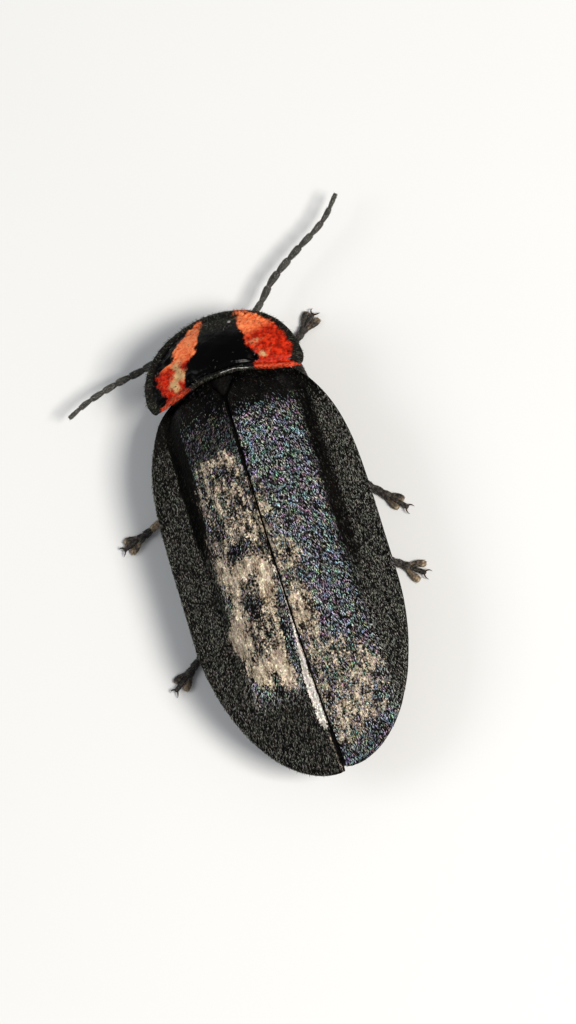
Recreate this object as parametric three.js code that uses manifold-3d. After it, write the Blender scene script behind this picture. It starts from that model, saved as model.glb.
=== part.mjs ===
import * as THREE from 'three';
import { mergeVertices } from 'three/addons/utils/BufferGeometryUtils.js';
import Module from 'manifold-3d';

// A black firefly at rest on its feet, life size, in millimetres.
// +X is the beetle's right, +Y is forward and +Z is up. While the pieces are made,
// Y is 0 at the middle of the pronotum's hind edge and Z is 0 under the feet.

// Driving dimensions
const ELYTRA_END = -11.3; // tip of the wing cases
const HALF_WIDTH = 2.97; // of the closed wing cases, at their widest
const SHOULDER_PINCH = 0.4; // share of the width lost at the shoulders
const TAIL_START = -6.8; // where the wing cases start to round in
const SUTURE_TOP = 3.15; // highest line of the back
const SUTURE_BASE_DROP = 0.4; // the back is this much lower at the pronotum
const SUTURE_END = 1.6; // height of the back at the tip
const MARGIN_TOP = 2.0; // height of the flat outer margin
const MARGIN_END = 1.52; // height of the margin at the tip
const GROOVE_AT = 2.05; // from the midline to the groove beside the flat margin
const PLATE = 0.5; // thickness of the wing cases and of the pronotum
const GAP = 0.1; // clear space between neighbouring pieces

const PRONOTUM_HALF_WIDTH = 2.3;
const PRONOTUM_LENGTH = 2.1; // from its widest line to its front
const PRONOTUM_WIDEST_Y = 0.05;
const PRONOTUM_TOP = 2.85; // middle of the hind edge
const PRONOTUM_FRONT_DROP = 1.25;
const PRONOTUM_SIDE_DROP = 0.8;
const PRONOTUM_CENTRE_Y = 0.5;
const PRONOTUM_LOBE = 0.26; // how far the hind corners reach back past the middle

const BELLY = 1.0; // height of the underside's midline
const BELLY_SIDE_RISE = 0.4;
const BODY_HALF_WIDTH = 2.2;
const ABDOMEN_START = -4.35;
const ABDOMEN_END = -10.7;
const ABDOMEN_SEGMENTS = 7;

const FEMUR_RADIUS = 0.27;
const TIBIA_RADIUS = 0.25;
const TARSUS_HALF_THICK = 0.26;
const LOBE_HALF_WIDTH = 0.36; // two-lobed fourth joint of each foot
const FEELER_RADIUS = 0.25;

// Each leg from the body to the tip of its claws: coxa, knee, ankle and claw tip
const LEGS = {
  front_right: { coxa: [0.55, 0.3, 0.72], knee: [2.05, -0.55, 1.08], ankle: [1.7, 0.8, 0.45], tip: [2.78, 1.75] },
  front_left: { coxa: [-0.55, 0.3, 0.72], knee: [-1.95, -0.68, 1.08], ankle: [-1.5, 0.65, 0.45], tip: [-1.85, 1.62] },
  mid_right: { coxa: [0.7, -2.0, 0.7], knee: [2.38, -1.5, 1.08], ankle: [2.42, -3.25, 0.45], tip: [3.72, -4.72] },
  mid_left: { coxa: [-0.7, -2.0, 0.7], knee: [-2.35, -1.45, 1.08], ankle: [-3.05, -2.62, 0.5], tip: [-4.58, -3.12] },
  hind_right: { coxa: [0.75, -4.1, 0.7], knee: [2.6, -4.15, 1.08], ankle: [2.4, -5.6, 0.45], tip: [3.64, -6.6] },
  hind_left: { coxa: [-0.75, -4.1, 0.7], knee: [-2.6, -4.6, 1.08], ankle: [-2.85, -6.45, 0.45], tip: [-4.3, -7.5] },
};

// Each antenna's line from its socket to its tip
const ANTENNAE = {
  right: [[0.3, 1.8, 1.08], [1.2, 2.05, 0.88], [1.93, 2.75, 0.85], [2.8, 3.32, 0.85], [3.76, 3.9, 0.82], [4.4, 4.55, 0.8]],
  left: [[-0.3, 1.8, 1.08], [-1.25, 1.78, 0.9], [-2.2, 1.54, 0.85], [-3.2, 1.38, 0.85], [-4.1, 1.17, 0.82], [-4.75, 0.9, 0.8]],
};
const SCAPE_SHARE = 0.13; // share of the antenna's length taken by its first joint
const FLAGELLUM_LENGTHS = 3;

const finish = {
  wingCase: { color: 0x2b2b28, roughness: 0.5, metalness: 0 },
  shell: { color: 0x0b0a09, roughness: 0.35, metalness: 0 },
  pronotum: { color: 0x7a2a14, roughness: 0.4, metalness: 0 },
  eye: { color: 0x050505, roughness: 0.15, metalness: 0 },
  leg: { color: 0x12100e, roughness: 0.45, metalness: 0 },
  foot: { color: 0x3a3128, roughness: 0.6, metalness: 0 },
  feeler: { color: 0x3b362f, roughness: 0.7, metalness: 0 },
};

const { lerp, clamp, smoothstep } = THREE.MathUtils;
const firefly = new THREE.Group();

function add(name, geometry, look) {
  const mesh = new THREE.Mesh(geometry, new THREE.MeshStandardMaterial(look));
  mesh.name = name;
  firefly.add(mesh);
  return mesh;
}

// Moves every vertex of a primitive to the place that a formula gives for it
function shaped(primitive, place) {
  const geometry = primitive;
  geometry.deleteAttribute('normal');
  geometry.deleteAttribute('uv');
  const spots = geometry.attributes.position;
  for (let i = 0; i < spots.count; i += 1) {
    const spot = place(spots.getX(i), spots.getY(i), spots.getZ(i));
    spots.setXYZ(i, spot[0], spot[1], spot[2]);
  }
  const closed = mergeVertices(geometry, 1e-4);
  closed.computeVertexNormals();
  return closed;
}

// Wing cases

// Half width of the closed wing cases at y
function caseHalfWidth(y) {
  const shoulder = clamp(-y / 5, 0, 1);
  const width = HALF_WIDTH * (1 - SHOULDER_PINCH * (1 - shoulder) ** 3.8);
  const tail = clamp((TAIL_START - y) / (TAIL_START - ELYTRA_END), 0, 1);
  return width * (1 - tail ** 1.8) ** (1 / 2.2);
}

function sutureHeight(y) {
  if (y > -3) {
    return SUTURE_TOP - SUTURE_BASE_DROP * ((3 + y) / 3) ** 2.5;
  }
  const back = (-3 - y) / (-3 - ELYTRA_END);
  return SUTURE_END + (SUTURE_TOP - SUTURE_END) * (1 - back ** 3);
}

function marginHeight(y) {
  const tail = Math.max(0, (-7 - y) / (-7 - ELYTRA_END));
  return MARGIN_TOP - (MARGIN_TOP - MARGIN_END) * tail ** 2;
}

// Top of a wing case: a raised disc inside a flat margin, one plain dome towards the tip
function caseTop(across, y) {
  const ridge = sutureHeight(y);
  const margin = marginHeight(y);
  const groove = margin - 0.08;
  const bend = clamp(caseHalfWidth(y) - 0.38, 0.5, GROOVE_AT);
  const disc = groove + (ridge - groove) * (1 - (across / bend) ** 2.8);
  const brim = groove + 0.1 * (across - bend);
  const softness = 0.12;
  const blend = clamp(0.5 + (disc - brim) / (2 * softness), 0, 1);
  const brimmed = lerp(brim, disc, blend) + softness * blend * (1 - blend);
  const edge = Math.max(caseHalfWidth(y), 0.05);
  const dome = margin + (ridge - margin) * (1 - Math.min(1, across / edge) ** 2.4);
  return lerp(brimmed, dome, smoothstep(-y, 7.2, 9.5));
}

const SCUTELLUM = { front: -0.12, tip: -0.72, halfWidth: 0.34, thick: 0.3 };

// The inner edge runs along the suture, around the scutellum and round at the tip
function innerEdge(y, tip) {
  const besideScutellum = clamp((y - SCUTELLUM.tip) / (SCUTELLUM.front - SCUTELLUM.tip), 0, 1);
  const round = clamp((tip + 0.45 - y) / 0.45, 0, 1);
  const tipRounding = 0.42 * (1 - Math.sqrt(1 - round * round));
  return GAP / 2 + (SCUTELLUM.halfWidth + GAP / 2) * besideScutellum + tipRounding;
}

function wingCase(side) {
  const tip = side < 0 ? ELYTRA_END - 0.05 : ELYTRA_END + 0.05;
  const stretch = tip / ELYTRA_END;
  return shaped(new THREE.BoxGeometry(1, 1, 1, 8, 20, 1), (x, y, z) => {
    const across = side > 0 ? x + 0.5 : 0.5 - x;
    const along = 1 - (0.5 + y) ** 1.5;
    const last = tip + 0.01;
    const innerY = lerp(-0.12, last, along);
    const outerY = lerp(-0.4, last, along);
    const inner = innerEdge(innerY, tip);
    const outer = Math.max(caseHalfWidth(outerY / stretch), inner + 0.08);
    const from = lerp(inner, outer, across);
    const atY = lerp(innerY, outerY, smoothstep(across, 0, 1));
    const top = caseTop(from, atY / stretch);
    return [side * from, atY, z > 0 ? top : top - PLATE];
  });
}

// Pronotum

// Outline of the pronotum: a half ellipse in front and a shallow double curve behind
function pronotumOutline(angle) {
  const across = Math.cos(angle);
  if (Math.sin(angle) >= 0) {
    const fullness = across < 0 ? 1.12 : 1;
    const x = PRONOTUM_HALF_WIDTH * Math.sign(across) * Math.abs(across) ** fullness;
    return [x, PRONOTUM_WIDEST_Y + PRONOTUM_LENGTH * Math.sin(angle)];
  }
  const x = PRONOTUM_HALF_WIDTH * across;
  const lobe = -PRONOTUM_LOBE * smoothstep(Math.abs(x), 0.3, 2.1);
  const corner = Math.max(0, (Math.abs(x) - 2.1) / (PRONOTUM_HALF_WIDTH - 2.1)) ** 2;
  return [x, lobe + (PRONOTUM_LOBE + PRONOTUM_WIDEST_Y) * corner];
}

function pronotumTop(x, y) {
  const forward = Math.max(0, (y + 0.1) / (PRONOTUM_LENGTH + 0.1));
  const sideways = Math.min(1.1, Math.abs(x) / PRONOTUM_HALF_WIDTH);
  const sideDrop = PRONOTUM_SIDE_DROP * (1 - 0.45 * forward) * sideways ** 2;
  return PRONOTUM_TOP - PRONOTUM_FRONT_DROP * forward ** 2.2 - sideDrop;
}

function pronotum() {
  return shaped(new THREE.SphereGeometry(1, 32, 12), (x, y, z) => {
    const polar = Math.acos(clamp(y, -1, 1));
    const reach = Math.sin(polar);
    const edge = pronotumOutline(Math.atan2(-z, x));
    const spotX = reach * edge[0];
    const spotY = PRONOTUM_CENTRE_Y + reach * (edge[1] - PRONOTUM_CENTRE_Y);
    const depth = PLATE * smoothstep(polar, 1.15, Math.PI - 1.15);
    return [spotX, spotY, pronotumTop(spotX, spotY) - depth];
  });
}

// Body under the plates

// A block between two lines across the body, closed above by roof and below by the belly
function bodyBlock(frontY, hindY, halfWidth, roof, belly) {
  return shaped(new THREE.BoxGeometry(1, 1, 1, 8, 2, 2), (x, y, z) => {
    const atY = lerp(hindY, frontY, y + 0.5);
    const level = z + 0.5;
    const waist = (2 * y) ** 2;
    const tuck = 1 - 0.12 * (2 * level - 1) ** 2 - 0.03 * waist;
    const atX = 2 * x * halfWidth(atY) * tuck;
    const floor = belly(atX, atY) + 0.04 * waist;
    return [atX, atY, lerp(floor, roof(atX, atY), level)];
  });
}

const underCases = (x, y) => caseTop(Math.abs(x), y) - PLATE - GAP;
const underPronotum = (x, y) => pronotumTop(x, y) - PLATE - GAP;

function bellyHeight(x, y) {
  const rear = Math.max(0, (-8 - y) / 2.7);
  const side = Math.abs(x) / BODY_HALF_WIDTH;
  return BELLY + 0.15 * rear ** 2 + BELLY_SIDE_RISE * (1 - 0.8 * rear) * side ** 2;
}

function abdomenHalfWidth(y) {
  const rear = Math.max(0, (-6 - y) / 5);
  return (BODY_HALF_WIDTH + 0.1) * Math.sqrt(1 - rear ** 2.2);
}

add('elytron_right', wingCase(1), finish.wingCase);
add('elytron_left', wingCase(-1), finish.wingCase);
add('pronotum', pronotum(), finish.pronotum);

add('scutellum', shaped(new THREE.BoxGeometry(1, 1, 1, 4, 4, 1), (x, y, z) => {
  const along = 0.5 - y;
  const atY = lerp(SCUTELLUM.front, SCUTELLUM.tip, along);
  const atX = 2 * x * SCUTELLUM.halfWidth * (1 - 0.75 * along ** 1.5);
  return [atX, atY, SUTURE_TOP - SUTURE_BASE_DROP - 0.02 - (z > 0 ? 0 : SCUTELLUM.thick)];
}), finish.shell);

const thoraxWidth = (y) => lerp(1.75, 2.15, smoothstep(-y, 0.3, 3));
add('mesothorax', bodyBlock(-0.5, -2.1, thoraxWidth, underCases, bellyHeight), finish.shell);
add('metathorax', bodyBlock(-2.2, ABDOMEN_START + GAP, thoraxWidth, underCases, bellyHeight), finish.shell);
const prothoraxWidth = (y) => lerp(1.45, 1.1, smoothstep(y, -0.05, 0.8));
const prothoraxBelly = (x) => BELLY + 0.45 * (Math.abs(x) / 1.45) ** 2;
add('prothorax', bodyBlock(0.8, 0, prothoraxWidth, underPronotum, prothoraxBelly), finish.shell);

const segmentLength = (ABDOMEN_START - ABDOMEN_END) / ABDOMEN_SEGMENTS;
for (let i = 0; i < ABDOMEN_SEGMENTS; i += 1) {
  const front = ABDOMEN_START - i * segmentLength;
  const hind = front - segmentLength + GAP;
  const block = bodyBlock(front, hind, abdomenHalfWidth, underCases, bellyHeight);
  add(`abdomen_${i + 1}`, block, finish.shell);
}

// Limbs

// A rounded rod along a line, with its half width and half thickness given along the way
function rod(line, halfWidth, halfThick, rings = 8, sides = 9) {
  return shaped(new THREE.SphereGeometry(1, sides, rings), (x, y, z) => {
    const share = (1 - y) / 2;
    const round = Math.sqrt(Math.max(0, 1 - y * y)) ** 0.55;
    const centre = line(share);
    const ahead = line(Math.min(1, share + 0.02)).sub(line(Math.max(0, share - 0.02))).normalize();
    const across = new THREE.Vector3().crossVectors(ahead, new THREE.Vector3(0, 0, 1)).normalize();
    const lift = new THREE.Vector3().crossVectors(ahead, across);
    const ring = Math.hypot(x, z) || 1;
    centre.addScaledVector(across, (x / ring) * round * halfWidth(share));
    centre.addScaledVector(lift, (z / ring) * round * halfThick(share));
    return [centre.x, centre.y, Math.max(0, centre.z)];
  });
}

function straight(from, to) {
  const start = new THREE.Vector3(...from);
  const end = new THREE.Vector3(...to);
  return (share) => new THREE.Vector3().lerpVectors(start, end, share);
}

// The points a little way in from each end of a line, so that the next piece stays clear
function shortened(from, to, startGap, endGap) {
  const length = Math.hypot(to[0] - from[0], to[1] - from[1], to[2] - from[2]);
  const inset = (share) => from.map((value, axis) => lerp(value, to[axis], share));
  return [inset(startGap / length), inset(1 - endGap / length)];
}

const same = (value) => () => value;

function addLeg(name, leg) {
  const foot = [leg.tip[0], leg.tip[1], TARSUS_HALF_THICK - 0.03];
  const hip = [leg.coxa[0] * 0.3, leg.coxa[1] + 0.08, leg.coxa[2] + 0.04];
  const [coxaStart, coxaEnd] = shortened(hip, leg.coxa, 0, 0.05);
  add(`coxa_${name}`, rod(straight(coxaStart, coxaEnd), same(0.3), same(0.24)), finish.leg);

  const femur = straight(...shortened(leg.coxa, leg.knee, 0.05, 0.05));
  const femurSwell = (share) => FEMUR_RADIUS * (0.93 + 0.14 * Math.sin(Math.PI * share));
  add(`femur_${name}`, rod(femur, femurSwell, femurSwell), finish.leg);

  const tibia = straight(...shortened(leg.knee, leg.ankle, 0.5, 0.05));
  add(`tibia_${name}`, rod(tibia, same(TIBIA_RADIUS), same(TIBIA_RADIUS)), finish.leg);

  const [footStart, footEnd] = shortened([leg.ankle[0], leg.ankle[1], 0.36], foot, 0.12, 0);
  const settle = straight(footStart, footEnd);
  const sole = (share) => {
    const spot = settle(share);
    spot.z = lerp(footStart[2], foot[2], smoothstep(share, 0, 0.3));
    return spot;
  };
  const spread = (share) => {
    const lobe = Math.exp(-(((share - 0.66) / 0.14) ** 2));
    return lerp(0.25, 0.2, share) + (LOBE_HALF_WIDTH - 0.22) * lobe;
  };
  add(`tarsus_${name}`, rod(sole, spread, same(TARSUS_HALF_THICK), 13, 10), finish.foot);
}

for (const [name, leg] of Object.entries(LEGS)) {
  addLeg(name, leg);
}

// Head

const SIDES = { right: 1, left: -1 };
const HEAD = { centre: [0, 1.4, 1.12], half: [0.62, 0.52, 0.42] };
const EYE = { centre: [0.54, 1.3, 1.15], radius: 0.27 };

function ellipsoid(centre, half, across = 14, down = 9) {
  return shaped(new THREE.SphereGeometry(1, across, down), (x, y, z) => [
    centre[0] + half[0] * x,
    centre[1] - half[1] * z,
    centre[2] + half[2] * y,
  ]);
}

// Antennae, each a scape and three lengths of flagellum
function feelerPiece(points, start, end, radius) {
  const curve = new THREE.CatmullRomCurve3(points.map((point) => new THREE.Vector3(...point)));
  const line = (share) => curve.getPointAt(lerp(start, end, share));
  return rod(line, same(radius), same(radius), 8, 8);
}

const feelerShare = (length) => length / 5.2;
for (const [name, points] of Object.entries(ANTENNAE)) {
  const space = feelerShare(GAP);
  add(`antenna_${name}_scape`, feelerPiece(points, 0, SCAPE_SHARE - space, FEELER_RADIUS), finish.feeler);
  const piece = (1 - SCAPE_SHARE) / FLAGELLUM_LENGTHS;
  for (let i = 0; i < FLAGELLUM_LENGTHS; i += 1) {
    const start = SCAPE_SHARE + i * piece;
    const end = start + piece - (i < FLAGELLUM_LENGTHS - 1 ? space : 0);
    add(`antenna_${name}_${i + 1}`, feelerPiece(points, start, end, FEELER_RADIUS), finish.feeler);
  }
}

const wasm = await Module();
wasm.setup();

function toSolid(geometry) {
  const vertProperties = new Float32Array(geometry.attributes.position.array);
  const triVerts = new Uint32Array(geometry.index.array);
  return new wasm.Manifold(new wasm.Mesh({ numProp: 3, vertProperties, triVerts }));
}

function fromSolid(solid) {
  const result = solid.getMesh();
  const geometry = new THREE.BufferGeometry();
  geometry.setAttribute('position', new THREE.Float32BufferAttribute(result.vertProperties, 3));
  geometry.setIndex(Array.from(result.triVerts));
  geometry.computeVertexNormals();
  return geometry;
}

// The head is hollowed around each eye, scape and mandible, with a clear gap
let head = toSolid(ellipsoid(HEAD.centre, HEAD.half));
for (const [name, side] of Object.entries(SIDES)) {
  const eyeCentre = [side * EYE.centre[0], EYE.centre[1], EYE.centre[2]];
  const round = (grow) => ellipsoid(eyeCentre, Array(3).fill(EYE.radius + grow), 12, 8);
  add(`eye_${name}`, round(0), finish.eye);
  head = head.subtract(toSolid(round(GAP)));
  const socket = feelerPiece(ANTENNAE[name], 0, SCAPE_SHARE, FEELER_RADIUS + GAP);
  head = head.subtract(toSolid(socket));

  const jaw = straight([side * 0.2, 1.72, 0.84], [side * 0.05, 2.12, 0.78]);
  add(`mandible_${name}`, rod(jaw, same(0.1), same(0.09), 7, 8), finish.shell);
  head = head.subtract(toSolid(rod(jaw, same(0.1 + GAP), same(0.09 + GAP), 7, 8)));

  const palp = straight([side * 0.42, 1.72, 0.66], [side * 0.52, 2.14, 0.5]);
  add(`palp_${name}`, rod(palp, same(0.12), same(0.12), 7, 8), finish.feeler);
  head = head.subtract(toSolid(rod(palp, same(0.12 + GAP), same(0.12 + GAP), 7, 8)));
}
add('head', fromSolid(head), finish.shell);

// The model's own frame has its origin in the middle of its box, on the floor
const box = new THREE.Box3().setFromObject(firefly);
const middle = box.getCenter(new THREE.Vector3());
firefly.position.set(-middle.x, -middle.y, -box.min.z);
firefly.updateMatrixWorld(true);

export default firefly;
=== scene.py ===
import bpy
import numpy as np
from mathutils import Matrix, Vector


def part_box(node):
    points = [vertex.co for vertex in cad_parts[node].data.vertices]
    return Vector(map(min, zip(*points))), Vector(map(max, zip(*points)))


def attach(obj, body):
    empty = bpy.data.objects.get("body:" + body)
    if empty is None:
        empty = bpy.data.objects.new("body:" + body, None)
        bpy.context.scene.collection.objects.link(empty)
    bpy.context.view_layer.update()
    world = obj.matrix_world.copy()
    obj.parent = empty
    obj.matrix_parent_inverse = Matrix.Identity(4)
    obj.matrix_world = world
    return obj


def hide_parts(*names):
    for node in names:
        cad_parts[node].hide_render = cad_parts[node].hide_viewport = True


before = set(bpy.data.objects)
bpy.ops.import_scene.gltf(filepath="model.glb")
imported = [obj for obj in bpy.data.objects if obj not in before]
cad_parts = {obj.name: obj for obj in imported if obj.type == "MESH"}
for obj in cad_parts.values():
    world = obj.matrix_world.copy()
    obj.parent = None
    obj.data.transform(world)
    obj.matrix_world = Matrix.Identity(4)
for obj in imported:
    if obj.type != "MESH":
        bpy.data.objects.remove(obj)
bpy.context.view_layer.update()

# The firefly is worked out in millimetres in its body's own frame: +X is its right, +Y forward, +Z up,
# with Y at 0 in the middle of the pronotum's hind edge and Z at 0 under its feet.

# Wing cases
ELYTRA_END = -11.3
HALF_WIDTH = 2.97
SHOULDER_PINCH = 0.4
TAIL_START = -6.8
SUTURE_TOP = 3.15
SUTURE_TOP_Y = -3.0
SUTURE_BASE_DROP = 0.4
SUTURE_END = 1.6
MARGIN_TOP = 2.0
MARGIN_END = 1.52
MARGIN_FALL_Y = -7.0
GROOVE_AT = 2.05
GROOVE_DEPTH = 0.08
BRIM_WIDTH = 0.38
SUTURE_HALF_GAP = 0.024
TIP_STAGGER = 0.05
CASE_THICK = 0.13
CASE_BASE_Y = 0.14
SHOULDER_ROUND = 0.14
SCUTELLUM_TIP = -0.72

# Ribs of the wing cases: distance from the suture and height
RIBS = ((0.55, 0.03), (1.05, 0.035), (1.58, 0.03))

# Wrinkles of the wing cases: height, how far y is drawn out, size and seed
WRINKLES = ((0.012, 1.0, 1.1, 11), (0.008, 0.8, 0.3, 12), (0.005, 1.0, 0.13, 13))

# Pronotum
PRONOTUM_HALF_WIDTH = 2.3
PRONOTUM_LENGTH = 2.1
PRONOTUM_WIDEST_Y = 0.05
PRONOTUM_TOP = 2.85
PRONOTUM_FRONT_DROP = 1.25
PRONOTUM_SIDE_DROP = 0.8
PRONOTUM_CENTRE_Y = 0.5
PRONOTUM_LOBE = 0.26
PRONOTUM_THICK = 0.16
LOBE_START = 0.3
LOBE_END = 2.1

# Underside
PLATE_GAP = 0.3
SEAM_SHARE = 0.35
BELLY = 1.0
BELLY_SIDE_RISE = 0.4
BODY_HALF_WIDTH = 2.2
THORAX_HALF_WIDTH = (1.75, 2.15)
PROTHORAX_HALF_WIDTH = (1.5, 1.15)
ABDOMEN_START = -4.35
ABDOMEN_END = -10.7
ABDOMEN_SEGMENTS = 7
SEGMENT_LAP = 0.04
LAST_SEGMENT_EXTRA = 0.47
COLLAR_HALF_WIDTH = 1.6
COLLAR_FRONT = 0.7
SCUTELLUM_HALF_WIDTH = 0.34
SEAM_HALF_WIDTH = 0.12
SEAM_DEPTH = 0.055
SEAM_THICK = 0.12

# Each leg from the body to the tip of its claws: coxa, knee, ankle and claw tip
LEGS = {
    "front_right": ((0.55, 0.3, 0.72), (2.05, -0.55, 1.08), (1.7, 0.8, 0.45), (2.78, 1.75)),
    "front_left": ((-0.55, 0.3, 0.72), (-1.95, -0.68, 1.08), (-1.5, 0.65, 0.45), (-1.85, 1.62)),
    "mid_right": ((0.7, -2.0, 0.7), (2.38, -1.5, 1.08), (2.42, -3.25, 0.45), (3.72, -4.72)),
    "mid_left": ((-0.7, -2.0, 0.7), (-2.35, -1.45, 1.08), (-3.05, -2.62, 0.5), (-4.58, -3.12)),
    "hind_right": ((0.75, -4.1, 0.7), (2.6, -4.15, 1.08), (2.4, -5.6, 0.45), (3.64, -6.6)),
    "hind_left": ((-0.75, -4.1, 0.7), (-2.6, -4.6, 1.08), (-2.85, -6.45, 0.45), (-4.3, -7.5)),
}

# Each antenna's line from its socket to its tip
ANTENNAE = {
    "right": ((0.3, 1.8, 1.08), (1.2, 2.05, 0.88), (1.93, 2.75, 0.85),
              (2.8, 3.32, 0.85), (3.76, 3.9, 0.82), (4.4, 4.6, 0.8)),
    "left": ((-0.3, 1.8, 1.08), (-1.25, 1.78, 0.9), (-2.2, 1.54, 0.85),
             (-3.2, 1.38, 0.85), (-4.1, 1.17, 0.82), (-4.8, 0.88, 0.8)),
}

# Hairs: how many, and how long, how wide and how far lifted in radians, each from its low to its high
CASE_HAIR_COUNT = 19500
CASE_HAIR_LENGTH = (0.055, 0.115)
CASE_HAIR_WIDTH = (0.016, 0.026)
CASE_HAIR_LIFT = (0.25, 0.75)
PRONOTUM_HAIR_COUNT = 11000
PRONOTUM_HAIR_LENGTH = (0.07, 0.13)
PRONOTUM_HAIR_WIDTH = (0.011, 0.018)
PRONOTUM_HAIR_LIFT = (0.3, 0.9)
BELLY_HAIR_COUNT = 420
BELLY_HAIR_LENGTH = (0.08, 0.14)
BELLY_HAIR_WIDTH = 0.013
BELLY_HAIR_LIFT = (0.3, 0.7)

# Every hair: how deep its root sits, what is left of its lift half way, and half its patch on the unwrap
HAIR_SUNK = 0.012
HAIR_CURL = 0.35
HAIR_PATCH = 0.0015

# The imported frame's origin, found from where the wing cases lie in it
left_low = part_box("elytron_left")[0]
right_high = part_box("elytron_right")[1]
ORIGIN = np.array([
    500 * (left_low.x + right_high.x),
    1000 * left_low.y - (ELYTRA_END - TIP_STAGGER + 0.01),
    0.0,
])
METRES = 0.001

# The sign of X on each side of the body
SIDES = {"right": 1, "left": -1}


def smooth(value, low, high):
    """Rises from 0 at low to 1 at high along the curve 3t^2 - 2t^3."""
    t = np.clip((value - low) / (high - low), 0, 1)
    return t * t * (3 - 2 * t)


def mix(a, b, share):
    """The value a share of the way from a to b."""
    return a + (b - a) * share


def hump(value, centre, width):
    """A bell curve, 1 at the centre."""
    return np.exp(-(((value - centre) / width) ** 2))


def round_spot(x, y, centre, size):
    """A bell-shaped spot, 1 at its centre, of two half sizes."""
    return np.exp(-(((x - centre[0]) / size[0]) ** 2) - ((y - centre[1]) / size[1]) ** 2)


def unit(vectors):
    """Each vector brought to length 1."""
    return vectors / np.linalg.norm(vectors, axis=-1, keepdims=True)


def waves(x, y, size, seed, count=22):
    """A bumpy field near -1 to 1: the sum of sine waves about size long, of random directions and phases."""
    rng = np.random.default_rng(seed)
    angle = rng.uniform(0, 2 * np.pi, count)
    pitch = 2 * np.pi / (size * rng.uniform(0.7, 1.4, count))
    phase = rng.uniform(0, 2 * np.pi, count)
    total = np.zeros(np.broadcast(x, y).shape)
    for a, k, p in zip(angle, pitch, phase):
        total += np.sin(k * (np.cos(a) * x + np.sin(a) * y) + p)
    return total / np.sqrt(count)


# Closed skins: every one is a dict of vertices, four-sided and three-sided faces, their UVs and its marks


def signed_volume(verts, quads, tris):
    """Six times the volume: the sum over all triangles of a . (b x c)."""
    halves = [tris, quads[:, [0, 1, 2]], quads[:, [0, 2, 3]]]
    corners = verts[np.concatenate(halves)]
    return np.einsum("ij,ij->", corners[:, 0], np.cross(corners[:, 1], corners[:, 2]))


def closed(verts, quads, tris, quad_uv, tri_uv, marks=None):
    """The skin with its faces turned to point out."""
    if signed_volume(verts, quads, tris) < 0:
        quads, quad_uv = quads[:, ::-1], quad_uv[:, ::-1]
        tris, tri_uv = tris[:, ::-1], tri_uv[:, ::-1]
    return {"verts": verts, "quads": quads, "tris": tris, "quad_uv": quad_uv, "tri_uv": tri_uv,
            "marks": marks or {}}


def tube(rings):
    """A skin of rings of points, rows by columns: each ring joins up, and a fan closes each end."""
    rows, cols = rings.shape[:2]
    index = np.arange(rows * cols).reshape(rows, cols)
    after = np.roll(index, -1, axis=1)
    quads = np.stack([index[:-1], index[1:], after[1:], after[:-1]], -1).reshape(-1, 4)
    u = np.broadcast_to(np.arange(cols) / cols, (rows - 1, cols))
    v = np.broadcast_to((np.arange(rows - 1) / (rows - 1))[:, None], (rows - 1, cols))
    du, dv = 1 / cols, 1 / (rows - 1)
    quad_uv = np.stack([np.stack([u, v], -1), np.stack([u, v + dv], -1),
                        np.stack([u + du, v + dv], -1), np.stack([u + du, v], -1)], 2).reshape(-1, 4, 2)
    first = np.full(cols, rows * cols)
    tris = np.concatenate([np.stack([first, index[0], after[0]], -1),
                           np.stack([first + 1, after[-1], index[-1]], -1)])
    around = np.arange(cols) / cols
    ends = [np.stack([np.stack([around, np.full(cols, end)], -1)] * 3, 1) for end in (0.0, 1.0)]
    verts = np.concatenate([rings.reshape(-1, 3), [rings[0].mean(0), rings[-1].mean(0)]])
    return closed(verts, quads, tris, quad_uv, np.concatenate(ends))


def slab(upper, lower, marks=None):
    """A skin of two sheets of points with the same rows and columns, joined by a strip round their edge."""
    rows, cols = upper.shape[:2]
    count = rows * cols
    index = np.arange(count).reshape(rows, cols)
    top = np.stack([index[:-1, :-1], index[1:, :-1], index[1:, 1:], index[:-1, 1:]], -1).reshape(-1, 4)
    edge = np.concatenate([index[0, :-1], index[:-1, -1], index[-1, :0:-1], index[:0:-1, 0]])
    onward = np.roll(edge, -1)
    strip = np.stack([edge, onward, onward + count, edge + count], -1)
    quads = np.concatenate([top, top[:, ::-1] + count, strip])
    spot = np.stack(np.meshgrid(np.linspace(0, 1, cols), np.linspace(0, 1, rows)), -1).reshape(-1, 2)
    verts = np.concatenate([upper.reshape(-1, 3), lower.reshape(-1, 3)])
    both = {name: np.concatenate([mark.ravel(), mark.ravel()]) for name, mark in (marks or {}).items()}
    return closed(verts, quads, np.zeros((0, 3), int), spot[quads % count], np.zeros((0, 3, 2)), both)


def joined(skins):
    """Several skins as one."""
    starts = np.cumsum([0] + [len(skin["verts"]) for skin in skins[:-1]])
    whole = {key: np.concatenate([skin[key] for skin in skins]) for key in ("verts", "quad_uv", "tri_uv")}
    for key in ("quads", "tris"):
        whole[key] = np.concatenate([skin[key] + start for skin, start in zip(skins, starts)])
    names = skins[0]["marks"]
    whole["marks"] = {name: np.concatenate([skin["marks"][name] for skin in skins]) for name in names}
    return whole


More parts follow.
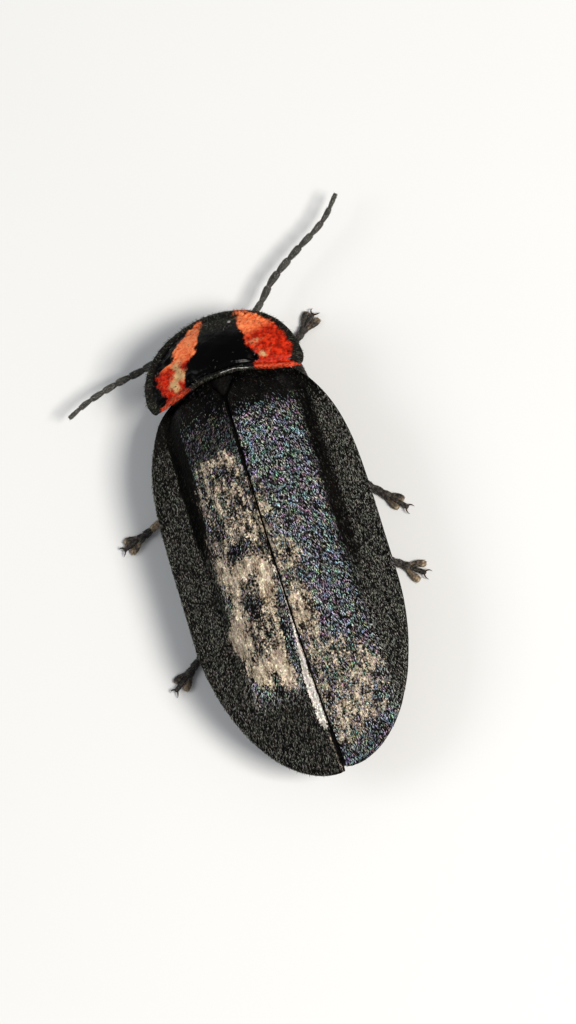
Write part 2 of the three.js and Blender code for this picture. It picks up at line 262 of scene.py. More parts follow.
def piece(name, skin, material, nodes=(), uv_name="UVMap"):
    """Puts a skin into the scene as an object that rides on the body and stands for the CAD nodes."""
    mesh = bpy.data.meshes.new(name)
    verts = (skin["verts"] + ORIGIN) * METRES
    quads, tris = skin["quads"], skin["tris"]
    loops = np.concatenate([quads.ravel(), tris.ravel()])
    starts = np.concatenate([np.arange(len(quads)) * 4, len(quads) * 4 + np.arange(len(tris)) * 3])
    mesh.vertices.add(len(verts))
    mesh.loops.add(len(loops))
    mesh.polygons.add(len(starts))
    mesh.vertices.foreach_set("co", verts.ravel())
    mesh.loops.foreach_set("vertex_index", loops)
    mesh.polygons.foreach_set("loop_start", starts)
    mesh.polygons.foreach_set("use_smooth", np.ones(len(starts), bool))
    uv = mesh.uv_layers.new(name=uv_name)
    uv.data.foreach_set("uv", np.concatenate([skin["quad_uv"].reshape(-1), skin["tri_uv"].reshape(-1)]))
    for mark, values in skin["marks"].items():
        mesh.attributes.new(mark, "FLOAT", "POINT").data.foreach_set("value", values.astype(np.float32))
    mesh.update(calc_edges=True)
    mesh.validate()
    mesh.materials.append(material)
    made = bpy.data.objects.new(name, mesh)
    bpy.context.scene.collection.objects.link(made)
    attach(made, "root")
    if nodes:
        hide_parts(*nodes)
    return made


# Material nodes


def node(tree, kind, sockets=None, **settings):
    """A node with its settings, and with each named socket set to a value or linked to another socket."""
    made = tree.nodes.new(kind)
    for key, value in settings.items():
        setattr(made, key, value)
    for key, value in (sockets or {}).items():
        if isinstance(value, bpy.types.NodeSocket):
            tree.links.new(value, made.inputs[key])
        else:
            made.inputs[key].default_value = value
    return made


def maths(tree, operation, a, b=0.0, c=0.0):
    """A sum, product or other operation on up to three values."""
    return node(tree, "ShaderNodeMath", {0: a, 1: b, 2: c}, operation=operation).outputs[0]


def vector_maths(tree, operation, sockets):
    """The same on vectors or colours."""
    return node(tree, "ShaderNodeVectorMath", sockets, operation=operation).outputs[0]


def between(tree, value, low, high, start=0.0, end=1.0):
    """Value spread from low..high to start..end with soft ends."""
    sockets = {"Value": value, "From Min": low, "From Max": high, "To Min": start, "To Max": end}
    return node(tree, "ShaderNodeMapRange", sockets, interpolation_type="SMOOTHSTEP").outputs["Result"]


def colour_mix(tree, share, a, b):
    """The colour a share of the way from a to b, each a socket or red, green and blue."""
    first, second = (end if isinstance(end, bpy.types.NodeSocket) else (*end, 1) for end in (a, b))
    return node(tree, "ShaderNodeMix", {0: share, 6: first, 7: second}, data_type="RGBA").outputs[2]


def noise(tree, vector, scale, detail=2.0, roughness=0.5, output="Fac"):
    """Cloudy noise whose features are about a metre divided by scale."""
    sockets = {"Vector": vector, "Scale": scale, "Detail": detail, "Roughness": roughness}
    return node(tree, "ShaderNodeTexNoise", sockets).outputs[output]


def mark(tree, name):
    """A mark of the mesh, read by its name."""
    return node(tree, "ShaderNodeAttribute", attribute_name=name, attribute_type="GEOMETRY").outputs["Fac"]


def group(name, inputs, outputs):
    """An empty node group with named sockets: returns the tree, its input sockets and its output node."""
    tree = bpy.data.node_groups.new(name, "ShaderNodeTree")
    for label, kind, value in inputs:
        socket = tree.interface.new_socket(label, in_out="INPUT", socket_type=kind)
        if value is not None:
            socket.default_value = value
    for label, kind in outputs:
        tree.interface.new_socket(label, in_out="OUTPUT", socket_type=kind)
    return tree, tree.nodes.new("NodeGroupInput").outputs, tree.nodes.new("NodeGroupOutput")


FLOAT, COLOR, VECTOR = "NodeSocketFloat", "NodeSocketColor", "NodeSocketVector"


def make_grain_group():
    """Skin grain: soft bumps and pits at one size, as a height and as a light and dark mask."""
    tree, given, out = group(
        "shell grain",
        [("Vector", VECTOR, None), ("Scale", FLOAT, 12000.0), ("Pitting", FLOAT, 0.5)],
        [("Height", FLOAT), ("Mask", FLOAT)],
    )
    bumps = noise(tree, given["Vector"], given["Scale"], 3, 0.65)
    cells = node(tree, "ShaderNodeTexVoronoi", {"Vector": given["Vector"], "Scale": given["Scale"]})
    pits = maths(tree, "SUBTRACT", 1.0, cells.outputs["Distance"])
    height = maths(tree, "MULTIPLY_ADD", pits, given["Pitting"], bumps)
    tree.links.new(height, out.inputs["Height"])
    tree.links.new(between(tree, bumps, 0.42, 0.66), out.inputs["Mask"])
    return tree


def make_glint_group():
    """Coloured glints: a colour pushed towards faint blue, green and pink, and made dark or bright by tone.
    Tone runs from 0 to 1; most of its range stays dark and its top end shines."""
    tree, given, out = group(
        "coloured glints",
        [("Vector", VECTOR, None), ("Color", COLOR, (0.3, 0.3, 0.3, 1)), ("Scale", FLOAT, 9000.0),
         ("Amount", FLOAT, 0.5), ("Tone", FLOAT, 0.5), ("Darkest", FLOAT, 0.1), ("Brightest", FLOAT, 2.0)],
        [("Color", COLOR)],
    )
    tint = noise(tree, given["Vector"], given["Scale"], 1, 0.5, "Color")
    centred = vector_maths(tree, "SUBTRACT", {0: tint, 1: (0.5, 0.5, 0.5)})
    scaled = vector_maths(tree, "SCALE", {0: centred, "Scale": given["Amount"]})
    strong = vector_maths(tree, "MULTIPLY_ADD", {0: scaled, 1: (4.0, 4.0, 4.0), 2: (1.0, 1.0, 1.0)})
    curve = maths(tree, "POWER", given["Tone"], 3.0)
    range_up = maths(tree, "SUBTRACT", given["Brightest"], given["Darkest"])
    shade = maths(tree, "MULTIPLY_ADD", curve, range_up, given["Darkest"])
    shaded = vector_maths(tree, "SCALE", {0: strong, "Scale": shade})
    tinted = vector_maths(tree, "MULTIPLY", {0: given["Color"], 1: shaded})
    kept = vector_maths(tree, "MAXIMUM", {0: tinted, 1: (0.0, 0.0, 0.0)})
    tree.links.new(kept, out.inputs["Color"])
    return tree


def make_case_marks_group():
    """Wing case markings from the worn, pale and dark marks, broken up by streaks, holes and specks; the dark
    mark is mostly painted shade, and the disc's bluish down is a painted sheen.
    It puts out the tan patches' mask, the skin's colour and the down's colour."""
    tree, given, out = group(
        "wing case markings and painted shade",
        [("Vector", VECTOR, None)],
        [("Worn", FLOAT), ("Skin", COLOR), ("Down", COLOR)],
    )
    drawn = node(tree, "ShaderNodeMapping", {"Vector": given["Vector"], "Scale": (1.0, 0.4, 1.0)}).outputs[0]
    holes = maths(tree, "SUBTRACT", noise(tree, given["Vector"], 2300.0, 3, 0.6), 0.5)
    streaks = maths(tree, "SUBTRACT", noise(tree, drawn, 6500.0, 4, 0.75), 0.5)
    specks = maths(tree, "SUBTRACT", noise(tree, given["Vector"], 17000.0, 2, 0.6), 0.5)
    ragged = maths(tree, "MULTIPLY_ADD", holes, 1.1, maths(tree, "MULTIPLY", streaks, 1.8))
    ragged = maths(tree, "MULTIPLY_ADD", specks, 1.7, ragged)
    worn = between(tree, maths(tree, "ADD", mark(tree, "worn"), ragged), 0.0, 0.42)
    pale = between(tree, maths(tree, "MULTIPLY_ADD", ragged, 0.1, mark(tree, "pale")), -0.01, 0.03)
    dark = mark(tree, "dark")
    brown = noise(tree, drawn, 2600.0, 3, 0.6)
    bare = colour_mix(tree, between(tree, brown, 0.35, 0.7), (0.0015, 0.0014, 0.0012), (0.006, 0.005, 0.004))
    tan = colour_mix(tree, between(tree, streaks, -0.19, 0.15), (0.2, 0.13, 0.08), (0.88, 0.74, 0.55))
    tanned = colour_mix(tree, worn, bare, tan)
    skin = colour_mix(tree, pale, tanned, (0.86, 0.8, 0.71))
    # The down is bluish grey on the disc, its bluish cast a painted sheen, and warmer grey on the plain
    # margins; the dark mark, mostly painted shade, takes it near black.
    side = colour_mix(tree, mark(tree, "plain"), (0.4, 0.43, 0.45), (0.36, 0.355, 0.305))
    grey = colour_mix(tree, dark, side, (0.012, 0.0115, 0.008))
    tan_down = colour_mix(tree, worn, grey, (0.42, 0.36, 0.28))
    down = colour_mix(tree, pale, tan_down, (0.8, 0.75, 0.67))
    tree.links.new(worn, out.inputs["Worn"])
    tree.links.new(skin, out.inputs["Skin"])
    tree.links.new(down, out.inputs["Down"])
    return tree


def make_pronotum_marks_group():
    """Pronotum markings from its red, tan and rim marks, with a painted highlight along the hind bead and a
    pale speck.
    It puts out the red patches' mask, the skin's colour and the down's colour."""
    tree, given, out = group(
        "pronotum markings and painted highlight",
        [("Vector", VECTOR, None)],
        [("Red", FLOAT), ("Skin", COLOR), ("Down", COLOR)],
    )
    ragged = maths(tree, "SUBTRACT", noise(tree, given["Vector"], 3800.0, 5, 0.65), 0.5)
    fine = noise(tree, given["Vector"], 9000.0, 3, 0.6)
    red = between(tree, maths(tree, "MULTIPLY_ADD", ragged, 0.55, mark(tree, "red")), -0.03, 0.07)
    tan = between(tree, maths(tree, "MULTIPLY_ADD", ragged, 1.2, mark(tree, "tan")), -0.05, 0.3)
    orange = between(tree, maths(tree, "MULTIPLY_ADD", ragged, 0.8, mark(tree, "orange")), 0.0, 1.0)
    spotted = between(tree, fine, 0.35, 0.68)
    deep = colour_mix(tree, spotted, (0.22, 0.006, 0.0015), (0.62, 0.026, 0.005))
    warm = colour_mix(tree, spotted, (0.86, 0.14, 0.04), (1.0, 0.31, 0.11))
    patch = colour_mix(tree, orange, deep, warm)
    tanned = colour_mix(tree, tan, patch, (0.52, 0.33, 0.15))
    lip = colour_mix(tree, between(tree, mark(tree, "lip"), 0.2, 0.8), tanned, (0.7, 0.075, 0.03))
    # The black is a little lighter on the rough rim than in the glossy middle.
    rim_lighter = between(tree, mark(tree, "rim"), 0.3, 0.8)
    black = colour_mix(tree, rim_lighter, (0.0006, 0.0005, 0.0005), (0.006, 0.0055, 0.004))
    skin = colour_mix(tree, red, black, lip)
    # The painted highlight along the hind bead and the pale speck turn the skin pale grey.
    bead_highlight_and_speck = between(tree, mark(tree, "bead_highlight_and_speck"), 0.35, 0.75)
    tree.links.new(red, out.inputs["Red"])
    tree.links.new(colour_mix(tree, bead_highlight_and_speck, skin, (0.42, 0.4, 0.38)), out.inputs["Skin"])
    tree.links.new(colour_mix(tree, red, (0.09, 0.092, 0.07), (0.42, 0.07, 0.025)), out.inputs["Down"])
    return tree


GRAIN = make_grain_group()
GLINTS = make_glint_group()
CASE_MARKS = make_case_marks_group()
PRONOTUM_MARKS = make_pronotum_marks_group()


def use(tree, made_group, sockets):
    """Places a node group in a tree and returns its outputs."""
    return node(tree, "ShaderNodeGroup", sockets, node_tree=made_group).outputs


def new_material(name, roughness=0.5, specular=0.5, coat=0.0, coat_roughness=0.1):
    """A material with a Principled shader: returns it, its tree, the shader and the object's coordinates."""
    made = bpy.data.materials.new(name)
    made.use_nodes = True
    tree = made.node_tree
    shader = tree.nodes["Principled BSDF"]
    shader.inputs["Roughness"].default_value = roughness
    shader.inputs["Specular IOR Level"].default_value = specular
    shader.inputs["Coat Weight"].default_value = coat
    shader.inputs["Coat Roughness"].default_value = coat_roughness
    return made, tree, shader, tree.nodes.new("ShaderNodeTexCoord").outputs["Object"]


def bump(tree, shader, height, distance, strength=1.0):
    """Relief of the given depth in metres."""
    made = node(tree, "ShaderNodeBump", {"Height": height, "Distance": distance, "Strength": strength})
    tree.links.new(made.outputs["Normal"], shader.inputs["Normal"])


def glint(tree, shader, at, colour, scale, amount, tone, darkest, brightest):
    """Gives a shader its colour with coloured glints on it."""
    tinted = use(tree, GLINTS, {"Vector": at, "Color": colour, "Scale": scale, "Amount": amount, "Tone": tone,
                                "Darkest": darkest, "Brightest": brightest})
    tree.links.new(tinted["Color"], shader.inputs["Base Color"])


def wing_case_material():
    """Wing case skin: its markings with a fine grain, duller where it is worn."""
    made, tree, shader, at = new_material("wing case skin", specular=0.04)
    marks = use(tree, CASE_MARKS, {"Vector": at})
    grain = use(tree, GRAIN, {"Vector": at, "Scale": 15000.0, "Pitting": 0.8})
    glint(tree, shader, at, marks["Skin"], 8000.0, 0.08, grain["Mask"], 0.6, 1.4)
    tree.links.new(between(tree, marks["Worn"], 0.0, 1.0, 0.48, 0.85), shader.inputs["Roughness"])
    bump(tree, shader, grain["Height"], 0.00003, 0.9)
    return made


def case_down_material():
    """Wing case down: glints of blue, green and pink, weaker on the plain margins and the worn patches."""
    made, tree, shader, at = new_material("wing case down", specular=0.12)
    marks = use(tree, CASE_MARKS, {"Vector": at})
    plain = maths(tree, "MAXIMUM", mark(tree, "plain"), marks["Worn"])
    colourful = between(tree, plain, 0.0, 1.0, 0.4, 0.09)
    glint(tree, shader, at, marks["Down"], 6000.0, colourful, mark(tree, "tone"), 0.02, 3.2)
    return made


def pronotum_material():
    """Pronotum skin: glossy in the middle, duller on the red patches and rough along the rim."""
    made, tree, shader, at = new_material("pronotum skin", specular=0.07)
    marks = use(tree, PRONOTUM_MARKS, {"Vector": at})
    grain = use(tree, GRAIN, {"Vector": at, "Scale": 12000.0, "Pitting": 0.25})
    rim = mark(tree, "rim")
    rough = maths(tree, "MAXIMUM", rim, maths(tree, "MULTIPLY", marks["Red"], 0.55))
    tree.links.new(marks["Skin"], shader.inputs["Base Color"])
    tree.links.new(between(tree, rough, 0.0, 1.0, 0.22, 0.6), shader.inputs["Roughness"])
    bump(tree, shader, maths(tree, "MULTIPLY", grain["Height"], maths(tree, "ADD", rim, 0.05)), 0.00003)
    return made


def pronotum_down_material():
    """Pronotum hairs: dark, and red on the red patches."""
    made, tree, shader, at = new_material("pronotum down", specular=0.12)
    marks = use(tree, PRONOTUM_MARKS, {"Vector": at})
    glint(tree, shader, at, marks["Down"], 7000.0, 0.2, mark(tree, "tone"), 0.08, 1.9)
    return made


def shell_material(name, low, high, scale=9000.0, depth=0.00002, roughness=(0.32, 0.5), specular=0.14):
    """Shell with a grain of one size, its colour and gloss changing from grain to grain."""
    made, tree, shader, at = new_material(name, specular=specular)
    grain = use(tree, GRAIN, {"Vector": at, "Scale": scale, "Pitting": 0.6})
    broad = noise(tree, at, 1800.0, 4, 0.6)
    patchy = maths(tree, "MULTIPLY", between(tree, broad, 0.3, 0.7), 0.5)
    share = maths(tree, "MULTIPLY_ADD", grain["Mask"], 0.5, patchy)
    tree.links.new(colour_mix(tree, share, low, high), shader.inputs["Base Color"])
    tree.links.new(between(tree, broad, 0.3, 0.7, *roughness), shader.inputs["Roughness"])
    bump(tree, shader, grain["Height"], depth)
    return made


def down_material(name, colour):
    """Short hairs of one colour with faint glints."""
    made, tree, shader, at = new_material(name, specular=0.2)
    glint(tree, shader, at, (*colour, 1), 7000.0, 0.2, mark(tree, "tone"), 0.15, 1.9)
    return made


def foot_material():
    """Foot joints: black-brown, and pale brown where the amber mark says so, as on the lobes."""
    made, tree, shader, at = new_material("foot joints", specular=0.18)
    grain = use(tree, GRAIN, {"Vector": at, "Scale": 14000.0, "Pitting": 0.5})
    blotch = maths(tree, "SUBTRACT", noise(tree, at, 5000.0, 4, 0.6), 0.5)
    amber = between(tree, maths(tree, "MULTIPLY_ADD", blotch, 1.6, mark(tree, "amber")), 0.25, 0.85)
    dark = colour_mix(tree, grain["Mask"], (0.011, 0.009, 0.008), (0.06, 0.052, 0.043))
    pale = colour_mix(tree, grain["Mask"], (0.14, 0.095, 0.055), (0.42, 0.33, 0.22))
    tree.links.new(colour_mix(tree, amber, dark, pale), shader.inputs["Base Color"])
    bump(tree, shader, grain["Height"], 0.00002)
    return made


def eye_material():
    """Compound eye: black, with fine round facets."""
    made, tree, shader, at = new_material("eye facets", 0.16, 0.6, coat=0.4, coat_roughness=0.08)
    cells = node(tree, "ShaderNodeTexVoronoi", {"Vector": at, "Scale": 42000.0, "Randomness": 0.15})
    dome = maths(tree, "SUBTRACT", 1.0, cells.outputs["Distance"])
    colour = colour_mix(tree, between(tree, dome, 0.3, 0.9), (0.004, 0.003, 0.003), (0.022, 0.016, 0.013))
    tree.links.new(colour, shader.inputs["Base Color"])
    bump(tree, shader, dome, 0.00001)
    return made


CASE_SKIN = wing_case_material()
CASE_DOWN = case_down_material()
PRONOTUM_SKIN = pronotum_material()
PRONOTUM_DOWN = pronotum_down_material()
BODY_SHELL = shell_material("body shell", (0.0035, 0.003, 0.0028), (0.016, 0.013, 0.0105))
LEG_SHELL = shell_material("leg shell", (0.006, 0.005, 0.0045), (0.035, 0.029, 0.024), 11000.0)
FEELER_SKIN = shell_material("antenna skin", (0.012, 0.0115, 0.0095), (0.085, 0.08, 0.068), 13000.0,
                             roughness=(0.5, 0.7), specular=0.2)
CLAW_SHELL = shell_material("claws and jaws", (0.012, 0.006, 0.003), (0.07, 0.03, 0.012), 6000.0,
                            depth=0.000004, roughness=(0.2, 0.35))
FOOT_SKIN = foot_material()
EYE_SKIN = eye_material()
BODY_DOWN = down_material("body hairs", (0.2, 0.18, 0.15))
LEG_DOWN = down_material("leg hairs", (0.19, 0.17, 0.145))
FEELER_DOWN = down_material("antenna hairs", (0.34, 0.325, 0.28))


# Short hairs


def sprout(roots, out, way, length, width, lift, spot, marks=None):
    """Hairs as three-sided spikes: a ring of three points at the root, one half way and a tip.
    Each leans from the skin's own direction, way, up by its lift angle, and curls back down half way.
    Its patch of the OFBake map is small and lies at spot, its root's place on the skin's unwrap.
    Every hair has a tone of its own between 0 and 1."""
    count = len(roots)
    way = unit(way - out * np.einsum("ij,ij->i", way, out)[:, None])
    side = np.cross(out, way)
    lift = lift[:, None]
    up_way = way * np.cos(lift) + out * np.sin(lift)
    down_way = way * np.cos(lift * HAIR_CURL) + out * np.sin(lift * HAIR_CURL)
    half = length[:, None] * 0.5
    base = roots - out * HAIR_SUNK
    middle = base + up_way * half
    tip = middle + down_way * half
    points = []
    for centre, share in ((base, 1.0), (middle, 0.72)):
        for angle in (np.pi / 2, np.pi * 7 / 6, np.pi * 11 / 6):
            reach = 0.5 * width[:, None] * share
            points.append(centre + reach * (side * np.cos(angle) + out * np.sin(angle) * 0.7))
    points.append(tip)
    verts = np.stack(points, 1).reshape(-1, 3)
    start = (np.arange(count) * 7)[:, None, None]
    quads = (np.array([[0, 1, 4, 3], [1, 2, 5, 4], [2, 0, 3, 5]]) + start).reshape(-1, 4)
    tris = (np.array([[3, 4, 6], [4, 5, 6], [5, 3, 6], [0, 2, 1]]) + start).reshape(-1, 3)
    shape = np.array([[-1, -1], [1, -1], [0, -0.6], [-0.8, 0.2], [0.8, 0.2], [0, 0.3], [0, 1]]) * HAIR_PATCH
    uv = (spot[:, None, :] + shape).reshape(-1, 2)
    tone = {"tone": np.random.default_rng(count).uniform(0, 1, count)}
    repeated = {name: np.repeat(values, 7) for name, values in {**(marks or {}), **tone}.items()}
    return closed(verts, quads, tris, uv[quads], uv[tris], repeated)


def normals_of(surface, a, b, step=1e-3):
    """Unit normals of a surface of two parameters: the cross product of its two slopes, turned to +Z."""
    slope_a = surface(a + step, b) - surface(a - step, b)
    slope_b = surface(a, b + step) - surface(a, b - step)
    out = unit(np.cross(slope_a, slope_b))
    return np.where(out[..., 2:] < 0, -out, out)


# Wing cases


def case_half_width(y):
    """Half width of the closed wing cases: narrowed at the shoulders, rounded in behind like an ellipse."""
    shoulder = np.clip(-y / 5, 0, 1)
    width = HALF_WIDTH * (1 - SHOULDER_PINCH * (1 - shoulder) ** 3.8)
    tail = np.clip((TAIL_START - y) / (TAIL_START - ELYTRA_END), 0, 1)
    return width * (1 - tail**1.8) ** (1 / 2.2)


def suture_height(y):
    """Height of the midline: rises from the pronotum, then falls with the cube of the way to the tip."""
    front = SUTURE_TOP - SUTURE_BASE_DROP * (np.clip(y - SUTURE_TOP_Y, 0, None) / -SUTURE_TOP_Y) ** 2.5
    back = np.clip((SUTURE_TOP_Y - y) / (SUTURE_TOP_Y - ELYTRA_END), 0, None)
    return np.where(y > SUTURE_TOP_Y, front, SUTURE_END + (SUTURE_TOP - SUTURE_END) * (1 - back**3))


def margin_height(y):
    """Height of the outer margin: level, then falls with the square of the way to the tip."""
    tail = np.clip((MARGIN_FALL_Y - y) / (MARGIN_FALL_Y - ELYTRA_END), 0, None)
    return MARGIN_TOP - (MARGIN_TOP - MARGIN_END) * tail**2


def case_top(across, y):
    """Height of a wing case: a raised disc inside a flat brim, blended into one dome towards the tip."""
    ridge, margin = suture_height(y), margin_height(y)
    groove = margin - GROOVE_DEPTH
    bend = np.clip(case_half_width(y) - BRIM_WIDTH, 0.5, GROOVE_AT)
    disc = groove + (ridge - groove) * (1 - (across / bend) ** 2.8)
    brim = groove + 0.1 * (across - bend)
    share = np.clip(0.5 + (disc - brim) / 0.24, 0, 1)
    brimmed = mix(brim, disc, share) + 0.12 * share * (1 - share)
    edge = np.maximum(case_half_width(y), 0.05)
    dome = margin + (ridge - margin) * (1 - np.minimum(1, across / edge) ** 2.4)
    return mix(brimmed, dome, smooth(-y, 7.2, 9.5))


def case_relief(across, y, side):
    """Fine relief: a bead along the suture, a groove beside it, three low ribs, a raised rim and wrinkles."""
    outer = np.maximum(case_half_width(y), 0.3)
    taper = outer / HALF_WIDTH
    long_way = smooth(-y, 0.8, 2.2) * (1 - smooth(-y, 9.0, 10.6))
    relief = 0.045 * hump(across, 0.07, 0.06) - 0.03 * hump(across, 0.19, 0.045)
    for rib, height in RIBS:
        wander = 0.03 * np.sin(1.3 * y + 5 * rib)
        relief = relief + height * long_way * hump(across, (rib + wander) * taper, 0.09)
    relief = relief + 0.05 * hump(outer - across, 0.03, 0.05) * smooth(outer - across, -0.02, 0.03)
    for height, stretch, size, seed in WRINKLES:
        relief = relief + height * waves(side * across, y * stretch, size, seed)
    relief = relief + 0.12 * hump(across, 1.35, 0.3) * hump(y, -0.6, 0.5)
    return relief - 0.12 * (1 - smooth(-y - 0.1 * across, 0.0, 0.35))


def suture_gap(y, tip):
    """Where a wing case's inner edge runs: beside the suture, round the scutellum and round at the tip."""
    beside = np.clip((y - SCUTELLUM_TIP) / (-0.12 - SCUTELLUM_TIP), 0, 1)
    rounding = np.clip((tip + 0.2 - y) / 0.2, 0, 1)
    opening = 0.02 * smooth(-y, 10.1, 10.5) * (1 - smooth(-y, 11.05, 11.2))
    return SUTURE_HALF_GAP + opening + 0.3 * beside + 0.03 * (1 - np.sqrt(1 - rounding**2))


def case_surface(side):
    """The wing case's upper side as a function of across and along, both from 0 to 1."""
    tip = ELYTRA_END + side * TIP_STAGGER
    last = tip + 0.012
    stretch = tip / ELYTRA_END

    def surface(across, along):
        y = mix(CASE_BASE_Y, last, along)
        inner = suture_gap(y, tip)
        rounded = SHOULDER_ROUND * smooth(y, -0.35, CASE_BASE_Y)
        outer = np.maximum(case_half_width(y / stretch) - rounded, inner + 0.06)
        away = mix(inner, outer, across)
        height = case_top(away, y / stretch) + case_relief(away, y / stretch, side)
        return np.stack([side * away, y, height], -1)

    return surface


def region(across, y, rows):
    """How far inside a patch a point is, in millimetres: rows give y with the patch's low and high sides."""
    heights = [row[0] for row in rows][::-1]
    low = np.interp(y, heights, [row[1] for row in rows][::-1])
    high = np.interp(y, heights, [row[2] for row in rows][::-1])
    ends = np.minimum(heights[-1] - y, y - heights[0])
    return np.minimum(np.minimum(across - low, high - across), ends)


# Each row is y, then the patch's two sides measured outwards from the suture
WORN_LEFT = [(-2.1, 0.3, 1.3), (-3.0, 0.05, 1.6), (-4.0, 0.0, 1.55), (-5.0, 0.0, 1.85), (-5.6, 0.02, 1.6),
             (-6.2, 0.1, 1.6), (-7.0, 0.2, 2.05), (-7.5, 0.2, 1.8), (-8.2, 0.3, 1.7), (-8.9, 0.4, 1.1)]
WORN_RIGHT = [(-3.1, 0.0, 0.35), (-5.0, 0.0, 0.4), (-5.3, 0.0, 0.8), (-5.8, 0.0, 0.7), (-6.2, 0.0, 0.4),
              (-6.6, 0.0, 0.65), (-7.8, 0.0, 0.75), (-8.3, 0.0, 1.6), (-9.2, 0.0, 1.9), (-10.0, 0.0, 1.6),
              (-10.6, 0.0, 0.7)]
PALE_LEFT = [(-5.6, 0.02, 0.03), (-7.3, 0.02, 0.05), (-8.4, 0.02, 0.2), (-9.2, 0.02, 0.26),
             (-9.9, 0.02, 0.25), (-10.2, 0.03, 0.14)]

# Where a worn patch is fuller or has a hollow: distance from the suture, y, half width, half length, amount
FULLER_LEFT = [(0.8, -5.5, 0.6, 0.3, 0.3), (0.38, -6.2, 0.22, 0.8, 0.3), (1.7, -7.1, 0.35, 0.5, 0.5),
               (1.3, -8.2, 0.4, 0.3, 0.4), (0.62, -8.3, 0.2, 0.45, 0.4), (1.5, -5.3, 0.18, 0.7, 0.15),
               (0.98, -6.5, 0.2, 0.42, -0.9), (0.9, -4.93, 0.42, 0.22, -0.55), (0.85, -7.3, 0.35, 0.35, -0.4),
               (0.22, -7.4, 0.16, 0.7, -0.6), (0.72, -5.85, 0.13, 0.27, -0.5), (1.35, -3.9, 0.2, 0.6, -0.25),
               (1.2, -7.75, 0.16, 0.2, -0.4), (0.95, -8.75, 0.12, 0.4, -0.6), (0.6, -3.1, 0.8, 0.9, -0.12)]
FULLER_RIGHT = [(0.35, -7.1, 0.3, 0.6, 0.55), (0.2, -3.8, 0.15, 0.6, 0.15), (0.52, -5.45, 0.15, 0.3, 0.4),
                (0.2, -5.4, 0.15, 0.35, 0.3), (0.65, -9.8, 0.5, 0.6, 0.14)]

# Marks so far below 0 that no noise makes a patch of them
NOT_WORN = -2.0
NOT_PALE = -1.0


def dark_marks(shape):
    """The marks of skin that is plain and dark all over."""
    return {"worn": np.full(shape, NOT_WORN), "pale": np.full(shape, NOT_PALE),
            "dark": np.ones(shape), "plain": np.ones(shape)}


def case_marks(points, side):
    """The marks of a wing case: worn tan patches, the pale strip, and a dark mark for the down that is mostly
    painted shade on the shoulders, sides, grooves and tail, and partly where the worn patches lose their
    down.
    """
    across, y = side * points[..., 0], points[..., 1]
    if side < 0:
        inside, spots = region(across, y, WORN_LEFT), FULLER_LEFT
        pale = region(across, y, PALE_LEFT)
        strength = 0.2 + 0.12 * smooth(-y, 5.0, 5.6)
        plain = np.maximum(smooth(across, 1.45, 1.85), smooth(-y, 8.6, 9.4))
        bead = mix(NOT_WORN, 0.08, hump(across, 0.1, 0.1) * smooth(-y, 10.0, 10.2))
        # Painted shade for the down, as the light falls from the right: the left margin, the groove inside
        # it, the hind end and the upper side are darker.
        margin = 0.72 * smooth(across, 1.6, 1.9)
        back = np.clip(-y - 3, 0, 3)
        groove = smooth(across, 1.4 + 0.1 * back, 1.58 + 0.12 * back) * (1 - smooth(across, 2.05, 2.25))
        groove = groove * (1 - smooth(-y, 3.5, 7.5))
        tail = np.maximum(0.75 * smooth(-y, 8.6, 9.4), 0.78 * (1 - smooth(-y, 2.0, 3.2)))
        bared = 0.55
    else:
        inside, spots = region(across, y, WORN_RIGHT), FULLER_RIGHT
        pale = np.full(across.shape, NOT_PALE)
        strength = 0.01 + 0.05 * smooth(-y, 7.8, 8.8)
        plain = smooth(across, 1.7, 2.05)
        bead = NOT_WORN
        # Painted shade for the down: the right margin, the groove inside it and the very tip are darker.
        margin = 0.55 * smooth(across, 1.85, 2.1)
        groove = 0.9 * smooth(across, 1.62, 1.86) * (1 - smooth(across, 2.08, 2.35))
        groove = groove * (1 - smooth(-y, 5.0, 9.0))
        tail = 0.45 * smooth(-y, 10.0, 10.8)
        bared = 0.25
    worn = np.minimum(inside * 1.5, strength)
    for far, along, half_width, half_length, amount in spots:
        spot = round_spot(across, y, (far, along), (half_width, half_length))
        worn = worn + amount * spot * smooth(inside, -0.15, 0.05)
    worn = np.maximum(np.where(inside < -0.35, NOT_WORN, worn), bead)
    # Painted shade on the shoulders, where the wing cases' base meets the pronotum's hind edge.
    shoulder = 0.95 * (1 - smooth(-y, 0.7, 1.5))
    hollow = bared * smooth(inside, -0.1, 0.15)
    # The dark mark: the painted shade above, and the worn patches where their down is gone.
    dark = np.maximum.reduce([margin, groove, tail, shoulder, hollow])
    # Hairs are also left out where the painted shade is deepest.
    shade_thinned = 0.8 * smooth(dark, 0.75, 0.95)
    rubbed_and_shade_thinned = np.maximum.reduce([0.85 * smooth(worn, 0.02, 0.3), hollow, 0.9 * (pale > -0.02), shade_thinned])
    return {"worn": worn, "pale": pale, "dark": dark, "plain": plain, "rubbed_and_shade_thinned": rubbed_and_shade_thinned}


def build_wing_case(name, side):
    """A wing case: its upper side, and a lower side a little below it that meets it round the edge."""
    surface = case_surface(side)
    across, along = np.meshgrid(0.5 - 0.5 * np.cos(np.pi * np.linspace(0, 1, 100)),
                                1 - (1 - np.linspace(0, 1, 330)) ** 1.25)
    upper = surface(across, along)
    closeness = np.maximum(np.abs(2 * across - 1) ** 24, np.maximum(along**60, (1 - along) ** 60))
    tuck = CASE_THICK / 2 * (1 - np.sqrt(np.clip(1 - closeness**2, 0, 1)))
    lower = upper.copy()
    upper[..., 2] -= tuck
    lower[..., 2] -= CASE_THICK - tuck
    piece(name, slab(upper, lower, case_marks(upper, side)), CASE_SKIN, [name])


